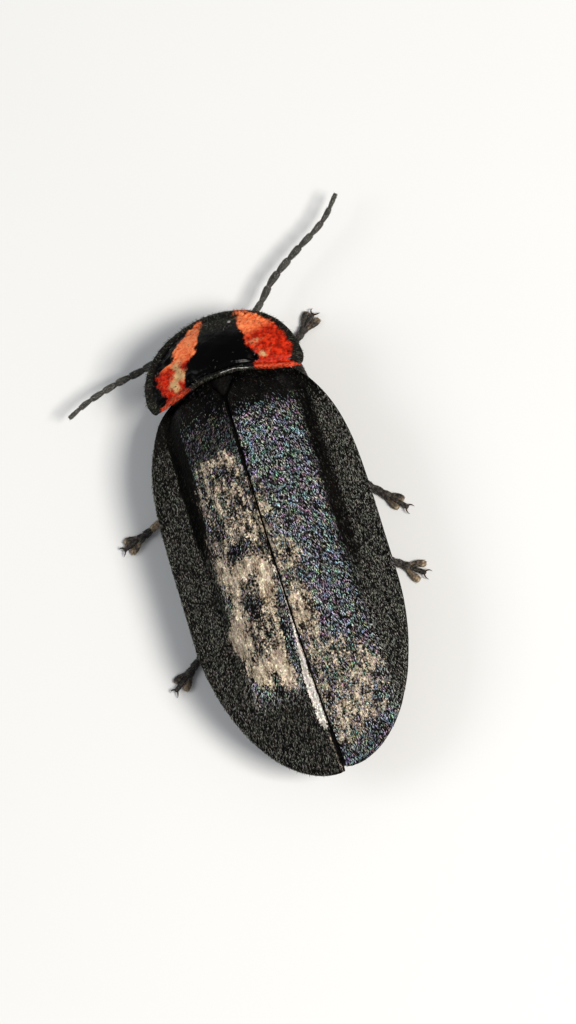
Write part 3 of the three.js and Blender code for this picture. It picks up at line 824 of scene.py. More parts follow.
def build_case_down(name, side, seed):
    """Down on a wing case: short hairs that lie back along it, sparse at the shoulders."""
    rng = np.random.default_rng(seed)
    count = CASE_HAIR_COUNT
    across, along = rng.uniform(0.014, 0.996, count), rng.uniform(0.01, 0.995, count)
    surface = case_surface(side)
    roots = surface(across, along)
    bare = 1 - smooth(-roots[:, 1], 0.8, 1.5)
    narrow = case_half_width(roots[:, 1]) / HALF_WIDTH
    # Hairs are left out where the patches are worn bare and where the painted shade is deepest.
    rubbed_and_shade_thinned = case_marks(roots, side)["rubbed_and_shade_thinned"]
    grown = rng.uniform(size=count) > np.maximum(0.75 * bare, rubbed_and_shade_thinned)
    keep = grown & (rng.uniform(size=count) < narrow)
    across, along, roots = across[keep], along[keep], roots[keep]
    total = len(roots)
    out = normals_of(surface, across, along)
    way = np.stack([side * rng.normal(0.12, 0.3, total), np.full(total, -1.0), np.zeros(total)], -1)
    length = rng.uniform(*CASE_HAIR_LENGTH, total)
    width = rng.uniform(*CASE_HAIR_WIDTH, total)
    lift = rng.uniform(*CASE_HAIR_LIFT, total)
    spot = np.stack([0.02 + 0.96 * across, 0.02 + 0.96 * along], -1)
    skin = sprout(roots, out, way, length, width, lift, spot, case_marks(roots, side))
    piece(name, skin, CASE_DOWN, uv_name="OFBake")


# Pronotum

# Each row is y, then the red patch's two sides in x
RED_RIGHT = [(2.2, 0.7, 1.0), (1.9, 0.72, 1.05), (1.7, 0.74, 1.28), (1.5, 0.77, 1.5), (1.26, 0.8, 1.66),
             (1.0, 0.88, 1.84), (0.82, 0.95, 1.95), (0.62, 0.95, 2.05), (0.45, 1.02, 2.1), (0.32, 1.15, 2.1),
             (0.15, 1.1, 2.03), (0.0, 1.0, 1.98), (-0.15, 0.95, 2.05), (-0.3, 0.92, 2.25)]
RED_LEFT = [(2.0, -0.3, -0.2), (1.86, -0.55, -0.2), (1.6, -0.85, -0.24), (1.4, -1.02, -0.32),
            (1.17, -1.14, -0.4), (0.95, -1.28, -0.47), (0.85, -1.66, -0.62), (0.68, -1.84, -0.8),
            (0.4, -1.86, -0.97), (0.1, -1.68, -0.98), (-0.1, -1.7, -0.85), (-0.22, -1.95, -0.85),
            (-0.34, -2.08, -0.9)]

# Tan blotches on the red: depth, centre and half sizes
TAN_BLOTCHES = [(0.34, -1.15, 0.55, 0.75, 1.3), (0.3, -1.3, 0.25, 0.8, 1.1), (0.13, 1.2, 0.66, 1.0, 1.0),
                (0.1, 1.3, 0.3, 1.6, 0.7)]

# The two pits of the pronotum's base: centres, depth and half sizes
PITS = [(1.05, 0.32), (-0.82, 0.22)]
PIT_DEPTH = 0.13
PIT_SIZE = (0.13, 0.11)

# A pale speck in front: centre and half sizes
SPECK_AT = (0.58, 1.62)
SPECK_SIZE = (0.06, 0.06)


def hind_edge(x):
    """The hind edge: straight in the middle, then it runs back smoothly towards the sides."""
    return -PRONOTUM_LOBE * smooth(np.abs(x), LOBE_START, LOBE_END)


def pronotum_outline(angle):
    """A half ellipse in front, a little flattened on the left, and a shallow double curve behind."""
    across = np.cos(angle)
    fullness = np.where(across < 0, 1.12, 1.0)
    front_x = PRONOTUM_HALF_WIDTH * np.sign(across) * np.abs(across) ** fullness
    front_y = PRONOTUM_WIDEST_Y + PRONOTUM_LENGTH * np.sin(angle)
    hind_x = PRONOTUM_HALF_WIDTH * across
    corner = np.clip((np.abs(hind_x) - LOBE_END) / (PRONOTUM_HALF_WIDTH - LOBE_END), 0, None) ** 2
    hind_y = hind_edge(hind_x) + (PRONOTUM_LOBE + PRONOTUM_WIDEST_Y) * corner
    ahead = np.sin(angle) >= 0
    return np.where(ahead, front_x, hind_x), np.where(ahead, front_y, hind_y)


def pronotum_top(x, y):
    """Height of the pronotum: falls with a power of the way to the front and the square of that to a side."""
    forward = np.clip((y + 0.1) / (PRONOTUM_LENGTH + 0.1), 0, None)
    sideways = np.minimum(1.1, np.abs(x) / PRONOTUM_HALF_WIDTH)
    side_drop = PRONOTUM_SIDE_DROP * (1 - 0.45 * forward) * sideways**2
    return PRONOTUM_TOP - PRONOTUM_FRONT_DROP * forward**2.2 - side_drop


def pronotum_spot(u, v):
    """Spreads a square, u and v from -1 to 1, over the outline: its rings become rings of the shield."""
    reach = np.maximum(np.abs(u), np.abs(v))
    sideways = np.abs(u) >= np.abs(v)
    turn = np.where(sideways, v, u) / np.maximum(reach, 1e-9) * np.pi / 4
    angle = np.select([sideways & (u >= 0), sideways, v >= 0], [turn, np.pi - turn, np.pi / 2 - turn],
                      turn - np.pi / 2)
    edge_x, edge_y = pronotum_outline(angle)
    x = reach * edge_x
    y = PRONOTUM_CENTRE_Y + reach * (edge_y - PRONOTUM_CENTRE_Y)
    return x, y, reach


def pronotum_relief(x, y, reach):
    """A raised middle, a pit on each side of its base, a turned-up rim, a bead behind and rough edges."""
    forward = smooth(y, 0.6, 1.9)
    relief = 0.1 * np.exp(-((np.abs(x) / mix(0.95, 0.55, forward)) ** 4)) * (1 - 0.6 * smooth(y, 1.1, 2.0))
    for pit in PITS:
        relief = relief - PIT_DEPTH * round_spot(x, y, pit, PIT_SIZE)
    relief = relief - 0.05 * hump(np.abs(x), 1.25, 0.35) * smooth(y, 1.4, 0.3)
    behind = y - hind_edge(x)
    relief = relief - 0.05 * hump(behind, 0.2, 0.07) + 0.045 * hump(behind, 0.06, 0.06)
    relief = relief + 0.075 * smooth(reach, 0.86, 0.99) * smooth(y, -0.1, 0.3)
    relief = relief - 0.03 * hump(reach, 0.84, 0.06) * smooth(y, 0, 0.4)
    rough = smooth(reach, 0.8, 0.92)
    relief = relief + (0.001 + 0.013 * rough) * waves(x, y, 0.12, 31) + 0.006 * waves(x, y, 0.5, 32)
    return relief + 0.012 * waves(x, y, 0.22, 33) * smooth(np.abs(x), 0.8, 1.1)


def pronotum_marks(x, y, reach):
    """The marks: red patches, tan blotches, orange fronts, lips behind, the rough rim, a painted highlight
    along the hind bead and a pale speck.
    """
    red = np.maximum(region(x, y, RED_RIGHT), region(x, y, RED_LEFT))
    red = np.clip(red, -0.3, 0.3)
    tan = np.maximum.reduce([depth - np.hypot((x - at_x) / wide, (y - at_y) / long)
                             for depth, at_x, at_y, wide, long in TAN_BLOTCHES])
    orange = np.where(x < 0, smooth(y, 0.65, 1.05), 0.05 + smooth(y - 0.3 * (x - 1.2), 0.8, 1.5))
    behind = y - hind_edge(x)
    lip = hump(behind, 0.07, 0.07) * smooth(np.abs(x), 0.9, 1.1)
    front_hairs = smooth(y, 1.25, 1.7) * smooth(-np.abs(x - 0.25), -0.75, -0.45)
    rim = np.maximum(smooth(reach, 0.83, 0.93) * smooth(y, -0.3, -0.1), front_hairs)
    # Painted highlight: a pale line along the hind bead, where light catches it; the pale speck in front
    # joins the same mark.
    bead_highlight_and_speck = 0.75 * hump(behind, 0.03 + 0.01 * np.sin(5 * x), 0.022)
    bead_highlight_and_speck = bead_highlight_and_speck * smooth(x, -0.1, 0.15) * smooth(-x, -1.0, -0.75)
    bead_highlight_and_speck = np.maximum(bead_highlight_and_speck, round_spot(x, y, SPECK_AT, SPECK_SIZE))
    return {"red": red, "tan": tan, "orange": orange, "lip": lip, "rim": rim, "bead_highlight_and_speck": bead_highlight_and_speck}


def build_pronotum():
    """The pronotum: its upper side, and a lower side that meets it round the edge, on a grid denser there."""
    steps = np.linspace(-1, 1, 181)
    steps = np.sin(steps * np.pi / 2) * 0.25 + steps * 0.75
    u, v = np.meshgrid(steps, steps)
    x, y, reach = pronotum_spot(u, v)
    top = pronotum_top(x, y) + pronotum_relief(x, y, reach)
    thick = PRONOTUM_THICK * (1 - 0.45 * smooth(-y, -0.3, 0.0))
    tuck = thick / 2 * (1 - np.sqrt(np.clip(1 - reach**40, 0, 1)))
    upper = np.stack([x, y, top - tuck], -1)
    lower = np.stack([x, y, top - thick + tuck], -1)
    skin = slab(upper, lower, pronotum_marks(x, y, reach))
    piece("pronotum_shield", skin, PRONOTUM_SKIN, ["pronotum"])


def build_pronotum_down():
    """Hairs on the pronotum: dense on the rim and the front's middle, few on the red, none on the gloss."""
    rng = np.random.default_rng(41)
    u, v = rng.uniform(-0.99, 0.99, (2, PRONOTUM_HAIR_COUNT))
    x, y, reach = pronotum_spot(u, v)
    marks = pronotum_marks(x, y, reach)
    chance = np.maximum(0.7 * marks["rim"], 0.1 * (marks["red"] > 0.02)) + 0.008
    keep = rng.uniform(size=u.size) < chance
    u, v, x, y, reach = u[keep], v[keep], x[keep], y[keep], reach[keep]

    def surface(a, b):
        sx, sy, sr = pronotum_spot(a, b)
        return np.stack([sx, sy, pronotum_top(sx, sy) + pronotum_relief(sx, sy, sr)], -1)

    out = normals_of(surface, u, v)
    total = len(u)
    way = np.stack([0.5 * x + rng.normal(0, 0.4, total), 0.4 * (y - 0.5) + rng.normal(0, 0.4, total) - 0.3,
                    np.zeros(total)], -1)
    length = rng.uniform(*PRONOTUM_HAIR_LENGTH, total)
    width = rng.uniform(*PRONOTUM_HAIR_WIDTH, total)
    lift = rng.uniform(*PRONOTUM_HAIR_LIFT, total)
    spot = np.stack([0.5 + 0.48 * u, 0.5 + 0.48 * v], -1)
    skin = sprout(surface(u, v), out, way, length, width, lift, spot, pronotum_marks(x, y, reach))
    piece("pronotum_hairs", skin, PRONOTUM_DOWN, uv_name="OFBake")


# Body under the plates


def belly_height(x, y):
    """Height of the belly: rises with the square of the way to a side, and again towards the tip."""
    rear = np.clip((-8 - y) / 2.7, 0, None)
    return BELLY + 0.15 * rear**2 + BELLY_SIDE_RISE * (1 - 0.8 * rear) * (np.abs(x) / BODY_HALF_WIDTH) ** 2


def plate_share(across):
    """How much of a plate's height is left towards its sides: a root of 1 minus a power of the way there."""
    return np.clip(1 - np.abs(across) ** 3.5, 0.0, 1) ** 0.5


def grid(columns, rows):
    """Across from -1 to 1 and along from 0 to 1, at every point of a sheet."""
    return np.meshgrid(np.linspace(-1, 1, columns), np.linspace(0, 1, rows))


def body_plate(front, hind, half_width, roof, belly, columns=72, rows=26):
    """A plate of the body between two lines across it: arched above, bellied below, rolled in at its ends.
    Its hind edge stands a little proud, as each plate laps over the next."""
    across, along = grid(columns, rows)
    across = np.sin(across * np.pi / 2)
    y = mix(front, hind, along)
    ends = np.abs(2 * along - 1) ** 9
    x = across * half_width(y) * (1 - 0.05 * ends)
    low, high = belly(x, y), roof(x, y)
    closing = plate_share(across) * (1 - 0.3 * ends)
    middle = mix(low, high, SEAM_SHARE)
    lap = 0.03 * smooth(along, 0.55, 0.92) - 0.006 * waves(x, y, 0.5, 51)
    upper = np.stack([x, y, middle + (high - middle) * closing], -1)
    lower = np.stack([x, y, middle - (middle - low) * closing - lap * closing], -1)
    return slab(upper, lower)


def under_cases(x, y):
    """A little below the wing cases' upper side."""
    return case_top(np.abs(x), y) - PLATE_GAP


def under_pronotum(x, y):
    """A little below the pronotum's upper side."""
    return pronotum_top(x, y) - PLATE_GAP


def thorax_width(y):
    """Half width of the thorax: widens smoothly towards the abdomen."""
    return mix(*THORAX_HALF_WIDTH, smooth(-y, 0.3, 3))


def abdomen_half_width(y):
    """Half width of the abdomen: even, then rounded in like an ellipse."""
    rear = np.clip((-6 - y) / 5, 0, 0.99)
    return (BODY_HALF_WIDTH + 0.1) * np.sqrt(1 - rear**2.2)


def prothorax_width(y):
    """Half width of the prothorax: narrows smoothly towards the neck."""
    return mix(*PROTHORAX_HALF_WIDTH, smooth(y, 0, 0.8))


def prothorax_belly(x, y):
    """Height of the prothorax's underside: rises with the square of the way to a side."""
    return BELLY + 0.45 * (np.abs(x) / 1.45) ** 2


def chest_belly(x, y):
    """The belly with a groove along the middle of the chest."""
    return belly_height(x, y) + 0.05 * hump(x, 0, 0.06) * smooth(y, -4.2, -2.0)


def build_body():
    """The plates of the thorax and the abdomen, with sparse hairs below that lie back along them."""
    spans = {
        "prothorax": (0.85, 0.16, prothorax_width, under_pronotum, prothorax_belly),
        "mesothorax": (-0.25, -2.12, thorax_width, under_cases, chest_belly),
        "metathorax": (-2.08, ABDOMEN_START + 0.02, thorax_width, under_cases, chest_belly),
    }
    segment = (ABDOMEN_START - ABDOMEN_END) / ABDOMEN_SEGMENTS
    for i in range(ABDOMEN_SEGMENTS):
        front = ABDOMEN_START - i * segment + SEGMENT_LAP
        hind = front - segment - (LAST_SEGMENT_EXTRA if i == ABDOMEN_SEGMENTS - 1 else 0.0)
        spans[f"abdomen_{i + 1}"] = (front, hind, abdomen_half_width, under_cases, belly_height)
    hairs = []
    rng = np.random.default_rng(61)
    for name, (front, hind, width, roof, belly) in spans.items():
        piece(f"{name}_plate", body_plate(front, hind, width, roof, belly), BODY_SHELL, [name])
        count = BELLY_HAIR_COUNT
        share, y = rng.uniform(-0.93, 0.93, count), rng.uniform(hind + 0.06, front - 0.06, count)
        x = share * width(y)
        low, high = belly(x, y), roof(x, y)
        middle = mix(low, high, SEAM_SHARE)
        roots = np.stack([x, y, middle - (middle - low) * plate_share(share) - 0.015], -1)
        slope = 2 * BELLY_SIDE_RISE * x / BODY_HALF_WIDTH**2
        out = unit(np.stack([slope, np.zeros(count), -np.ones(count)], -1))
        way = np.stack([rng.normal(0, 0.2, count), -np.ones(count), np.zeros(count)], -1)
        spot = np.stack([0.5 + 0.19 * x, 0.97 + 0.08 * (y - 1)], -1)
        length, lift = rng.uniform(*BELLY_HAIR_LENGTH, count), rng.uniform(*BELLY_HAIR_LIFT, count)
        hairs.append(sprout(roots, out, way, length, np.full(count, BELLY_HAIR_WIDTH), lift, spot))
    piece("belly_hairs", joined(hairs), BODY_DOWN, uv_name="OFBake")


def build_scutellum():
    """A small shield between the wing cases' bases, pointed behind."""
    across, along = grid(24, 26)
    y = mix(-0.02, SCUTELLUM_TIP, along)
    x = across * SCUTELLUM_HALF_WIDTH * (1 - 0.85 * along**1.6)
    top = SUTURE_TOP - SUTURE_BASE_DROP - 0.02 + 0.05 * (1 - across**2) * (1 - along) - 0.06 * along
    tuck = 0.1 * np.abs(across) ** 6
    upper = np.stack([x, y, top - tuck], -1)
    lower = np.stack([x, y, top - 0.28 + tuck * 0.2], -1)
    piece("scutellum_shield", slab(upper, lower, dark_marks(y.shape)), CASE_SKIN, ["scutellum"])


def build_collar():
    """A collar that fills the room under the pronotum's hind edge, and a waist between the chest's plates."""
    across, along = grid(61, 24)
    x = COLLAR_HALF_WIDTH * across
    y = mix(COLLAR_FRONT, hind_edge(x) + 0.06, along)
    roof = pronotum_top(x, y) + pronotum_relief(x, y, np.zeros(x.shape)) - 0.07 - 0.05 * smooth(y, 0, 0.3)
    upper, lower = np.stack([x, y, roof], -1), np.stack([x, y, under_cases(x, y)], -1)
    waist = body_plate(0.22, -0.5, lambda y: thorax_width(y) - 0.1, under_cases,
                       lambda x, y: chest_belly(x, y) + 0.04)
    piece("prothorax_collar", joined([slab(upper, lower), waist]), BODY_SHELL)


def build_suture_seam():
    """A dark strip a little below the suture, where the wing cases' inner edges lock together."""
    across, along = grid(7, 160)
    x, y = SEAM_HALF_WIDTH * across, mix(SCUTELLUM_TIP + 0.1, ELYTRA_END + 0.35, along)
    upper = np.stack([x, y, case_top(np.abs(x), y) - SEAM_DEPTH], -1)
    lower = upper - np.array([0, 0, SEAM_THICK])
    piece("suture_seam", slab(upper, lower, dark_marks(y.shape)), CASE_SKIN)


# Limbs

# A leg's sizes in millimetres, and how many hairs each part of a limb has
COXA_HALF_WIDTH = 0.3
COXA_HALF_THICK = 0.27
TROCHANTER_HALF_WIDTH = 0.19
TROCHANTER_HALF_THICK = 0.18
SHIN_END_HEIGHT = 0.3
SPUR_LENGTH = 0.2
SPUR_HALF_WIDTH = 0.03
TOE_LOBE_LENGTH = 0.5
CLAW_LENGTH = 0.16
LEG_HAIR_COUNT = 420
FOOT_HAIR_COUNT = 130
FEELER_HAIR_COUNT = 190
FEELER_BASE_HAIR_COUNT = 110


def along_line(start, end, sag=(0.0, 0.0, 0.0)):
    """A line from start to end that bows by sag half way."""
    start, end, sag = np.array(start), np.array(end), np.array(sag)
    return lambda t: start + (end - start) * t[:, None] + sag * (4 * t * (1 - t))[:, None]


def rod(line, half_width, half_thick, blunt=0.5):
    """A rounded rod: ellipses along a line, whose two half sizes are functions of the share of its length,
    and shrink towards each end by a root of the sine of that share. The same formula places hairs on it."""

    def surface(angle, t):
        share = 0.5 - 0.5 * np.cos(np.pi * t)
        flat = share.ravel()
        ahead = unit(line(np.minimum(1, flat + 0.01)) - line(np.maximum(0, flat - 0.01)))
        across = unit(np.cross(ahead, np.array([0.0, 0.0, 1.0])))
        lift = np.cross(across, ahead)
        close = np.clip(np.sin(np.pi * np.clip(t.ravel(), 0, 1)), 0, 1) ** blunt
        wide = (half_width(flat) * close)[:, None]
        thick = (half_thick(flat) * close)[:, None]
        a = angle.ravel()[:, None]
        points = line(flat) + across * np.cos(a) * wide + lift * np.sin(a) * thick
        return points.reshape(*share.shape, 3)

    return surface


def steady(value):
    """A half size that stays the same along a rod."""
    return lambda t: np.full(np.shape(t), float(value))


def widening(start, end, power=1.0):
    """A half size that goes from start to end with a power of the share of a rod's length."""
    return lambda t: mix(start, end, t**power)


def swelling(low, rise):
    """A half size that swells by a sine in a rod's middle."""
    return lambda t: low + rise * np.sin(np.pi * t**0.8)


def rod_skin(surface, rows=26, columns=22, marks=None):
    """The closed skin of a rod, with marks that are the same all over it."""
    angle, t = np.meshgrid(np.arange(columns) * 2 * np.pi / columns, np.linspace(0.02, 0.98, rows))
    skin = tube(surface(angle, t))
    skin["marks"] = {name: np.full(len(skin["verts"]), value) for name, value in (marks or {}).items()}
    return skin


def rod_hairs(surface, count, rng, tile, length=(0.05, 0.1), width=0.011, lift=(0.35, 0.8),
              span=(0.08, 0.95)):
    """Hairs spread over a rod, leaning towards its far end. Tile is the rod's place on the hairs' unwrap."""
    angle = rng.uniform(0, 2 * np.pi, count)
    t = np.arccos(1 - 2 * rng.uniform(*span, count)) / np.pi
    roots = surface(angle, t)
    ahead = surface(angle, np.minimum(t + 0.01, 0.999)) - surface(angle, t - 0.01)
    around = surface(angle + 0.02, t) - surface(angle - 0.02, t)
    out = unit(np.cross(ahead, around))
    middle = surface(angle + np.pi, t)
    out *= np.sign(np.einsum("ij,ij->i", out, roots - middle))[:, None]
    spot = np.stack([(tile % 8 + 0.1 + 0.8 * angle / (2 * np.pi)) / 8, (tile // 8 + 0.1 + 0.8 * t) / 8], -1)
    return sprout(roots, out, ahead + rng.normal(0, 0.002, (count, 3)), rng.uniform(*length, count),
                  np.full(count, width), rng.uniform(*lift, count), spot)


def toe_line(ankle, tip, start, end, height):
    """A short straight part of a foot's line, between two shares of its length."""
    first, last = mix(ankle[:2], tip, start), mix(ankle[:2], tip, end)
    return along_line((*first, height[0]), (*last, height[1]))


# Each foot's lobes: how amber, from black-brown at 0 to pale brown at 1, and how far they spread
LOBES = {
    "front_right": (0.15, 0.17),
    "front_left": (0.15, 0.14),
    "mid_right": (0.15, 0.1),
    "mid_left": (0.3, 0.15),
    "hind_right": (0.4, 0.22),
    "hind_left": (0.15, 0.16),
}

# A foot's first three joints: start and end as shares of the foot, half width, half thickness,
# the heights of both ends and how amber
FOOT_JOINTS = [
    (-0.03, 0.3, 0.115, 0.095, (0.3, 0.17), 0.05),
    (0.26, 0.46, 0.125, 0.09, (0.17, 0.13), 0.1),
    (0.42, 0.6, 0.14, 0.085, (0.13, 0.11), 0.15),
]


def build_foot(name, ankle, tip, ahead, across, outside):
    """A foot of five joints: three that widen, two lobes and a slender last. Returns their rods."""
    amber, spread = LOBES[name]
    foot, rods = [], []
    for start, end, wide, thick, height, tint in FOOT_JOINTS:
        line = toe_line(ankle, tip, start, end, height)
        part = rod(line, widening(0.62 * wide, 1.12 * wide), steady(thick))
        pale_joint = 1.0 * (name == "mid_left" and start < 0)
        foot.append(rod_skin(part, 16, 18, {"amber": tint + 0.25 * amber + pale_joint}))
        rods.append(part)
    for lean in (-1, 1):
        root = np.array([*mix(ankle[:2], tip, 0.52), 0.11]) + across * 0.03 * lean
        end = root + ahead * TOE_LOBE_LENGTH + across * spread * lean + np.array([0, 0, -0.03])
        lobe = rod(along_line(root, end, across * 0.03 * lean), lambda t: 0.055 + 0.06 * smooth(t, 0.1, 0.85),
                   steady(0.07))
        tinted = rod_skin(lobe, 20, 18, {"amber": amber + 0.25 * (lean * outside < 0)})
        reach = (tinted["verts"][:, :2] - root[:2]) @ ahead[:2]
        tinted["marks"]["amber"] += 0.5 * smooth(reach, 0.3, 0.5)
        foot.append(tinted)
        rods.append(lobe)
    last = rod(toe_line(ankle, tip, 0.55, 0.9, (0.13, 0.15)), widening(0.05, 0.085), widening(0.05, 0.07))
    foot.append(rod_skin(last, 16, 14, {"amber": 0.1}))
    rods.append(last)
    piece(f"tarsus_{name}_joints", joined(foot), FOOT_SKIN, [f"tarsus_{name}"])
    return rods


def build_claws(name, ankle, tip, ahead, across):
    """Two hooked claws at a foot's tip."""
    claws = []
    root = np.array([*mix(ankle[:2], tip, 0.87), 0.15])
    for lean in (-1, 1):
        end = root + ahead * CLAW_LENGTH + across * 0.12 * lean + np.array([0, 0, -0.12])
        hook = across * 0.035 * lean + np.array([0, 0, 0.06])
        claw = rod(along_line(root + across * 0.03 * lean, end, hook), widening(0.03, 0.0045),
                   widening(0.035, 0.00525))
        claws.append(rod_skin(claw, 14, 10))
    piece(f"claws_{name}", joined(claws), CLAW_SHELL)


def build_leg(name, leg, seed):
    """A leg: a coxa, a trochanter, a swollen femur, a slender tibia with two spurs, a foot and its claws."""
    coxa, knee, ankle, tip = (np.array(point) for point in leg)
    rng = np.random.default_rng(seed)
    hip = coxa * (0.3, 1, 1) + (0, 0.08, 0.1)
    coxa_rod = rod(along_line(hip, coxa), steady(COXA_HALF_WIDTH), steady(COXA_HALF_THICK))
    piece(f"coxa_{name}_shell", rod_skin(coxa_rod), LEG_SHELL, [f"coxa_{name}"])

    thigh = rod(along_line(coxa, knee, (0, 0, 0.06)), swelling(0.15, 0.12), swelling(0.15, 0.1))
    joint = rod(along_line(mix(coxa, knee, -0.06), mix(coxa, knee, 0.2)), steady(TROCHANTER_HALF_WIDTH),
                steady(TROCHANTER_HALF_THICK))
    femur = joined([rod_skin(thigh, 34, 26), rod_skin(joint)])
    piece(f"femur_{name}_shell", femur, LEG_SHELL, [f"femur_{name}"])

    shin_end = np.array([*ankle[:2], SHIN_END_HEIGHT])
    shin = rod(along_line(knee, shin_end, (0, 0, 0.05)), widening(0.12, 0.165), widening(0.11, 0.14))
    ahead = unit(np.array([*(tip - ankle[:2]), 0.0]))
    across = np.array([-ahead[1], ahead[0], 0.0])
    skins = [rod_skin(shin, 34, 24)]
    for lean in (-1, 1):
        root = shin_end + across * 0.09 * lean
        narrowing = widening(SPUR_HALF_WIDTH, 0.2 * SPUR_HALF_WIDTH)
        end = root + ahead * SPUR_LENGTH + np.array([0, 0, -0.08])
        skins.append(rod_skin(rod(along_line(root, end), narrowing, narrowing), 10, 8))
    piece(f"tibia_{name}_shell", joined(skins), LEG_SHELL, [f"tibia_{name}"])

    rods = build_foot(name, ankle, tip, ahead, across, np.sign(coxa[0]))
    build_claws(name, ankle, tip, ahead, across)
    hairs = [rod_hairs(thigh, LEG_HAIR_COUNT, rng, 0), rod_hairs(shin, LEG_HAIR_COUNT, rng, 1)]
    for i, part in enumerate(rods):
        hairs.append(rod_hairs(part, FOOT_HAIR_COUNT, rng, 2 + i, (0.045, 0.09), 0.01))
    piece(f"leg_hairs_{name}", joined(hairs), LEG_DOWN, uv_name="OFBake")


def curve_through(points):
    """A smooth line through points, walked at even steps of its length. Between two points it is the cubic
    whose slope at each is half the way from the point before it to the point after."""
    p = np.array(points)
    p = np.concatenate([[2 * p[0] - p[1]], p, [2 * p[-1] - p[-2]]])
    t = np.linspace(0, len(points) - 1 - 1e-9, 400)
    i, f = t.astype(int), (t % 1)[:, None]
    a, b, c, d = p[i], p[i + 1], p[i + 2], p[i + 3]
    line = 0.5 * (2 * b + (c - a) * f + (2 * a - 5 * b + 4 * c - d) * f**2 + (3 * b - a - 3 * c + d) * f**3)
    walked = np.concatenate([[0], np.cumsum(np.linalg.norm(np.diff(line, axis=0), axis=1))])
    walked /= walked[-1]
    return lambda share: np.stack([np.interp(share, walked, line[:, k]) for k in range(3)], -1)


# Where the eleven joints of an antenna start and end, as shares of its length
FEELER_JOINTS = np.array([0, 0.12, 0.16, 0.245, 0.34, 0.434, 0.528, 0.62, 0.712, 0.802, 0.89, 0.98])

# Their half widths
FEELER_WIDTHS = (0.115, 0.078, 0.094, 0.104, 0.107, 0.105, 0.101, 0.095, 0.088, 0.08, 0.07)


def build_antenna(name, points, seed):
    """An antenna of eleven joints: each widens towards its far end, the first two and the last the least."""
    rng = np.random.default_rng(seed)
    line = curve_through(points)
    skins, hairs = [], []
    for i, wide in enumerate(FEELER_WIDTHS):
        start = FEELER_JOINTS[i]
        stretch = FEELER_JOINTS[i + 1] + 0.006 - start

        def path(t, start=start, stretch=stretch):
            return line(start + stretch * t)

        low, high, power = (0.76, 1.18, 0.8) if 1 < i < 10 else (0.85, 1.05, 1.0)
        widths = widening(low * wide, high * wide, power)
        part = rod(path, widths, lambda t, w=widths: 0.72 * w(t), blunt=0.3)
        skins.append(rod_skin(part, 18, 18))
        count = FEELER_HAIR_COUNT if i > 1 else FEELER_BASE_HAIR_COUNT
        hairs.append(rod_hairs(part, count, rng, i, (0.04, 0.085), 0.009, (0.3, 0.8), (0.1, 0.98)))
    nodes = [f"antenna_{name}_scape"] + [f"antenna_{name}_{i}" for i in (1, 2, 3)]
    piece(f"antenna_{name}", joined(skins), FEELER_SKIN, nodes)
    piece(f"antenna_hairs_{name}", joined(hairs), FEELER_DOWN, uv_name="OFBake")


# Head

HEAD_CENTRE = (0.0, 1.4, 1.12)
HEAD_HALF = (0.62, 0.52, 0.42)
EYE_CENTRE = (0.54, 1.3, 1.15)
EYE_RADIUS = 0.27


def ball(centre, half, dent=None, rows=40, columns=56):
    """An ellipsoid of rings round the Y axis, moved in or out by dent, a function of its directions."""
    around = np.arange(columns) * 2 * np.pi / columns
    angle, polar = np.meshgrid(around, np.linspace(0.02, np.pi - 0.02, rows))
    facing = np.stack([np.sin(polar) * np.cos(angle), np.cos(polar), np.sin(polar) * np.sin(angle)], -1)
    swell = 1 if dent is None else (1 + dent(facing))[..., None]
    return tube(np.array(centre) + facing * np.array(half) * swell)


def head_dent(facing):
    """The face: a hollow between the antennae, a flat brow and a ledge above the mouth."""
    x, y, z = facing[..., 0], facing[..., 1], facing[..., 2]
    hollow = -0.09 * round_spot(x, z, (0, 0.15), (0.3, 0.35)) * smooth(y, 0.2, 0.9)
    ledge = 0.08 * round_spot(x, z, (0, -0.55), (0.45, 0.2)) * smooth(y, 0.2, 0.8)
    return hollow + ledge + 0.01 * waves(x, z, 0.35, 71)


def build_palp(name, side, rng, first_tile):
    """A palp of four joints along a curve, each a little wider than the one before. Returns its hairs."""
    line = curve_through([(side * 0.3, 1.5, 0.88), (side * 0.44, 1.76, 0.68), (side * 0.5, 1.95, 0.56),
                          (side * 0.44, 2.12, 0.48)])
    palp, hairs = [], []
    for i in range(4):
        start = 0.98 * i / 4

        def path(t, start=start):
            return line(start + 0.25 * t)

        part = rod(path, widening(0.055 + 0.01 * i, 0.075 + 0.01 * i), widening(0.05, 0.065))
        palp.append(rod_skin(part, 12, 12))
        hairs.append(rod_hairs(part, 40, rng, first_tile + i, (0.04, 0.07), 0.009))
    piece(f"palp_{name}_joints", joined(palp), FEELER_SKIN, [f"palp_{name}"])
    return hairs


def build_head():
    """The head on its neck, with two compound eyes, hooked mandibles and jointed palps."""
    neck = rod(along_line((0, 0.55, 1.3), (0, 1.15, 1.16)), steady(0.42), steady(0.3), blunt=0.3)
    head = ball(HEAD_CENTRE, HEAD_HALF, head_dent)
    piece("head_shell", joined([head, rod_skin(neck)]), BODY_SHELL, ["head"])
    rng = np.random.default_rng(81)
    hairs = []
    for i, (name, side) in enumerate(SIDES.items()):
        eye = ball((side * EYE_CENTRE[0], *EYE_CENTRE[1:]), (EYE_RADIUS,) * 3, None, 36, 44)
        piece(f"eye_{name}_facets", eye, EYE_SKIN, [f"eye_{name}"])
        jaw = rod(along_line((side * 0.22, 1.68, 0.84), (side * 0.03, 2.12, 0.78), (side * 0.1, 0.05, 0)),
                  widening(0.085, 0.017), widening(0.07, 0.021))
        piece(f"mandible_{name}_hook", rod_skin(jaw), CLAW_SHELL, [f"mandible_{name}"])
        hairs += build_palp(name, side, rng, 4 * i)
    piece("mouth_hairs", joined(hairs), FEELER_DOWN, uv_name="OFBake")


